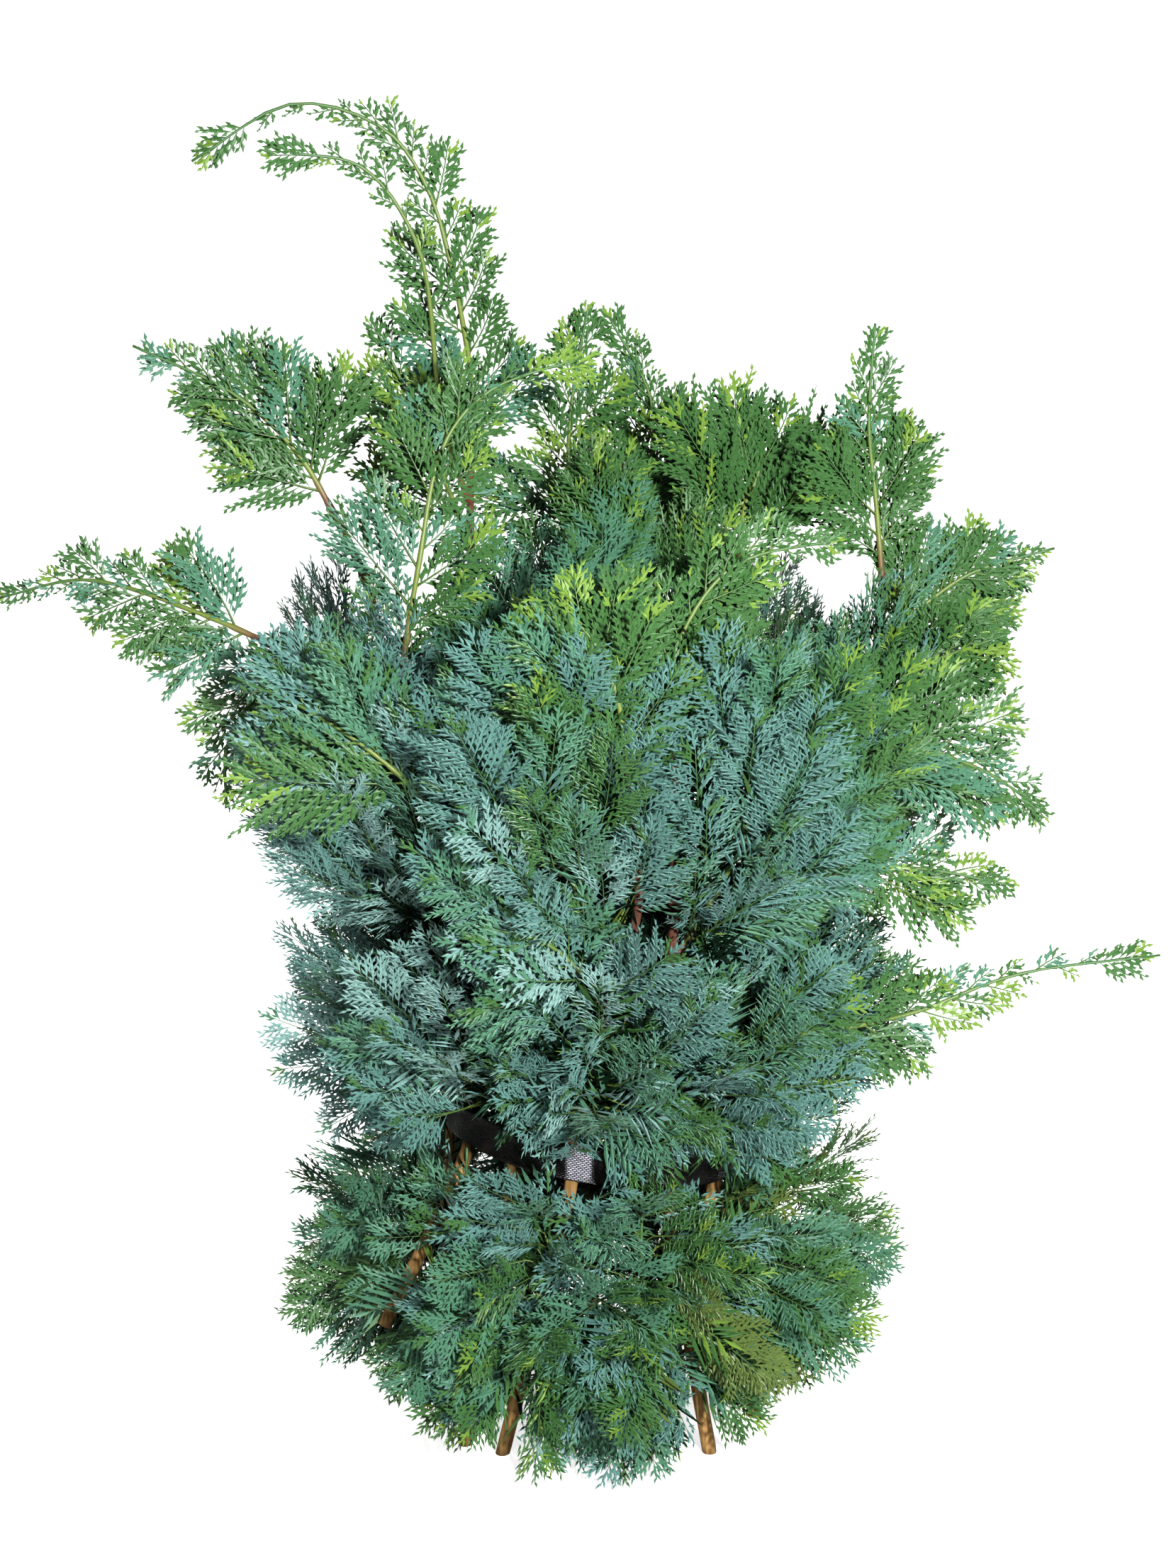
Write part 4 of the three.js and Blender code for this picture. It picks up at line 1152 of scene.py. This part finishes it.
def lay_leaves(made, twigs, masses, name):
    """Makes one piece for each colour of leaf, or several where there are many, in free air only."""
    corners = np.concatenate([solids for solids, _ in made])
    parents = np.concatenate([parent for _, parent in made])
    free = Air().free(corners)
    most = PIECE_FACES // len(LEAF_FACES)
    for number, kind in enumerate(KINDS):
        chosen = np.flatnonzero(free & (twigs["kind"][parents] == number))
        if len(chosen) == 0:
            continue
        chosen = chosen[np.argsort(twigs["mass"][parents[chosen]], kind="stable")]
        material = scale_leaf(kind)
        for index, part in enumerate(np.array_split(chosen, math.ceil(len(chosen) / most))):
            mesh = copies(corners[part], LEAF_FACES)
            piece = build(f"{name}_{kind}_{index + 1}", *mesh, [material], smooth=False)
            owners = np.unique(twigs["mass"][parents[part]])
            dress(piece, [masses[owner]["node"] for owner in owners])


class SHEAF_OT_sprays(bpy.types.Operator):
    """Fronds of scale leaves, each colour in pieces of its own"""

    bl_idname = "sheaf.sprays"
    bl_label = "Sprays"

    def execute(self, context):
        sizes = context.scene.sheaf_sizes
        masses, fronds = grow_sheaf(sizes)
        twigs = grow_branchlets(fronds, sizes.branchlet_gap / MM, sizes.frond_width)
        made = [branchlet_leaves(twigs, sizes.branchlet_width / MM), side_leaves(twigs, sizes)]
        lay_leaves(made, twigs, masses, "sprays")
        return {"FINISHED"}


class SHEAF_OT_inner(bpy.types.Operator):
    """Shaded inner fronds of broad leaves, which fill the depth of the dense masses; inside the outline most
    are painted near-black as painted shade
    """

    bl_idname = "sheaf.inner"
    bl_label = "Inner fronds"

    def execute(self, context):
        sizes = context.scene.sheaf_sizes
        masses, fronds = grow_sheaf(sizes, sizes.inner)
        # Painted shade: inner fronds inside the outline take the near-black painted-shade colour, the rest
        # teal; those at the outline keep their own
        dark = chance(fronds["seed"], 0, SHADE) < INNER["dark"]
        tip = fronds["root"] + fronds["aim"] * fronds["long"][:, None]
        rim = np.linalg.norm(tip[:, :2], axis=1) > np.interp(tip[:, 2], *RIM)
        shaded = np.where(dark, KINDS.index("deep"), KINDS.index("teal"))
        fronds["kind"] = np.where(rim | (tip[:, 2] > RIM[0][-1]), fronds["kind"], shaded)
        twigs = grow_branchlets(fronds, sizes.inner_gap / MM, INNER["broad"] * sizes.frond_width)
        lay_leaves([branchlet_leaves(twigs, INNER["leaf"])], twigs, masses, "inner")
        return {"FINISHED"}


class SHEAF_OT_stage(bpy.types.Operator):
    """Pale floor, soft lights and the camera"""

    bl_idname = "sheaf.stage"
    bl_label = "Stage"

    def execute(self, context):
        scene = context.scene
        self.floor()
        self.room(scene)
        for name, (spot, power, size) in LIGHTS.items():
            light = bpy.data.lights.new(name, "AREA")
            light.energy, light.size = power, size
            lamp = bpy.data.objects.new(name, light)
            lamp.location = spot
            x, y, z = np.array(CAMERA["aim"]) - spot
            tilt = math.acos(-z / np.linalg.norm((x, y, z)))
            lamp.rotation_euler = (tilt, 0, math.atan2(y, x) - math.pi / 2)
            scene.collection.objects.link(lamp)
        data = bpy.data.cameras.new("camera")
        data.lens, data.sensor_width = CAMERA["lens"], 36
        camera = bpy.data.objects.new("camera", data)
        camera.location = np.array(CAMERA["aim"]) + BACK * CAMERA["distance"]
        camera.rotation_euler = (math.pi / 2 - math.radians(CAMERA["rise"]), 0, 0)
        scene.collection.objects.link(camera)
        scene.camera = camera
        return {"FINISHED"}

    def floor(self):
        """A wide floor just under the ground, brighter to the camera away from the sheaf, so that it meets
        the backdrop without an edge."""
        material, tree = blank("pale_floor")
        where = add(tree, "TexCoord").outputs["Object"]
        away = add(tree, "VectorMath", {0: where}, operation="LENGTH").outputs["Value"]
        seen = add(tree, "LightPath").outputs["Is Camera Ray"]
        glow = {0: remap(tree, away, *FLOOR_GLOW), 1: seen}
        glow = add(tree, "Math", glow, operation="MULTIPLY").outputs["Value"]
        glow = {"Emission Color": (1, 1, 1, 1), "Emission Strength": glow}
        finish(tree, {"Base Color": (*linear("#D2D0CD"), 1), "Roughness": 0.7, **glow})
        signs = ((-1, -1), (1, -1), (1, 1), (-1, 1))
        corners = [(x * FLOOR_REACH, y * FLOOR_REACH, -FLOOR_DROP) for x, y in signs]
        build("floor", corners, np.array([(0, 1, 2), (0, 2, 3)]), [material], smooth=False)

    def room(self, scene):
        """A white room, brighter behind the sheaf than in front, and brighter still to the camera."""
        scene.world, tree = blank("white_room", "worlds")
        seen = add(tree, "LightPath").outputs["Is Camera Ray"]
        way = split(tree, add(tree, "TexCoord").outputs["Generated"], "Y")
        strength = remap(tree, seen, (0, 1), (remap(tree, way, *ROOM_LIGHT), ROOM_SEEN))
        sky = {"Color": (1, 1, 1, 1), "Strength": strength}
        add(tree, "OutputWorld", {"Surface": add(tree, "Background", sky).outputs[0]})
        scene.view_settings.view_transform = "Standard"
        scene.view_settings.look = "Medium High Contrast"


STEPS = (SHEAF_OT_stems, SHEAF_OT_strap, SHEAF_OT_twigs, SHEAF_OT_sprays, SHEAF_OT_inner, SHEAF_OT_stage)


class SHEAF_PT_panel(bpy.types.Panel):
    """The sheaf's steps, sizes and colours"""

    bl_idname = "SHEAF_PT_panel"
    bl_label = "Cypress sheaf"
    bl_space_type = "VIEW_3D"
    bl_region_type = "UI"
    bl_category = "Sheaf"

    def draw(self, context):
        for group in (context.scene.sheaf_sizes, context.scene.sheaf_colours):
            for key in group.__annotations__:
                self.layout.prop(group, key)
        for step in STEPS:
            self.layout.operator(step.bl_idname)


CLASSES = (SheafSizes, SheafColours, *STEPS, SHEAF_PT_panel)


def register():
    for kind in CLASSES:
        bpy.utils.register_class(kind)
    bpy.types.Scene.sheaf_sizes = PointerProperty(type=SheafSizes)
    bpy.types.Scene.sheaf_colours = PointerProperty(type=SheafColours)


def unregister():
    del bpy.types.Scene.sheaf_colours
    del bpy.types.Scene.sheaf_sizes
    for kind in reversed(CLASSES):
        bpy.utils.unregister_class(kind)


def main():
    """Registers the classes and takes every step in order."""
    register()
    for step in STEPS:
        getattr(bpy.ops.sheaf, step.bl_idname.split(".")[1])()


if __name__ == "__main__":
    main()
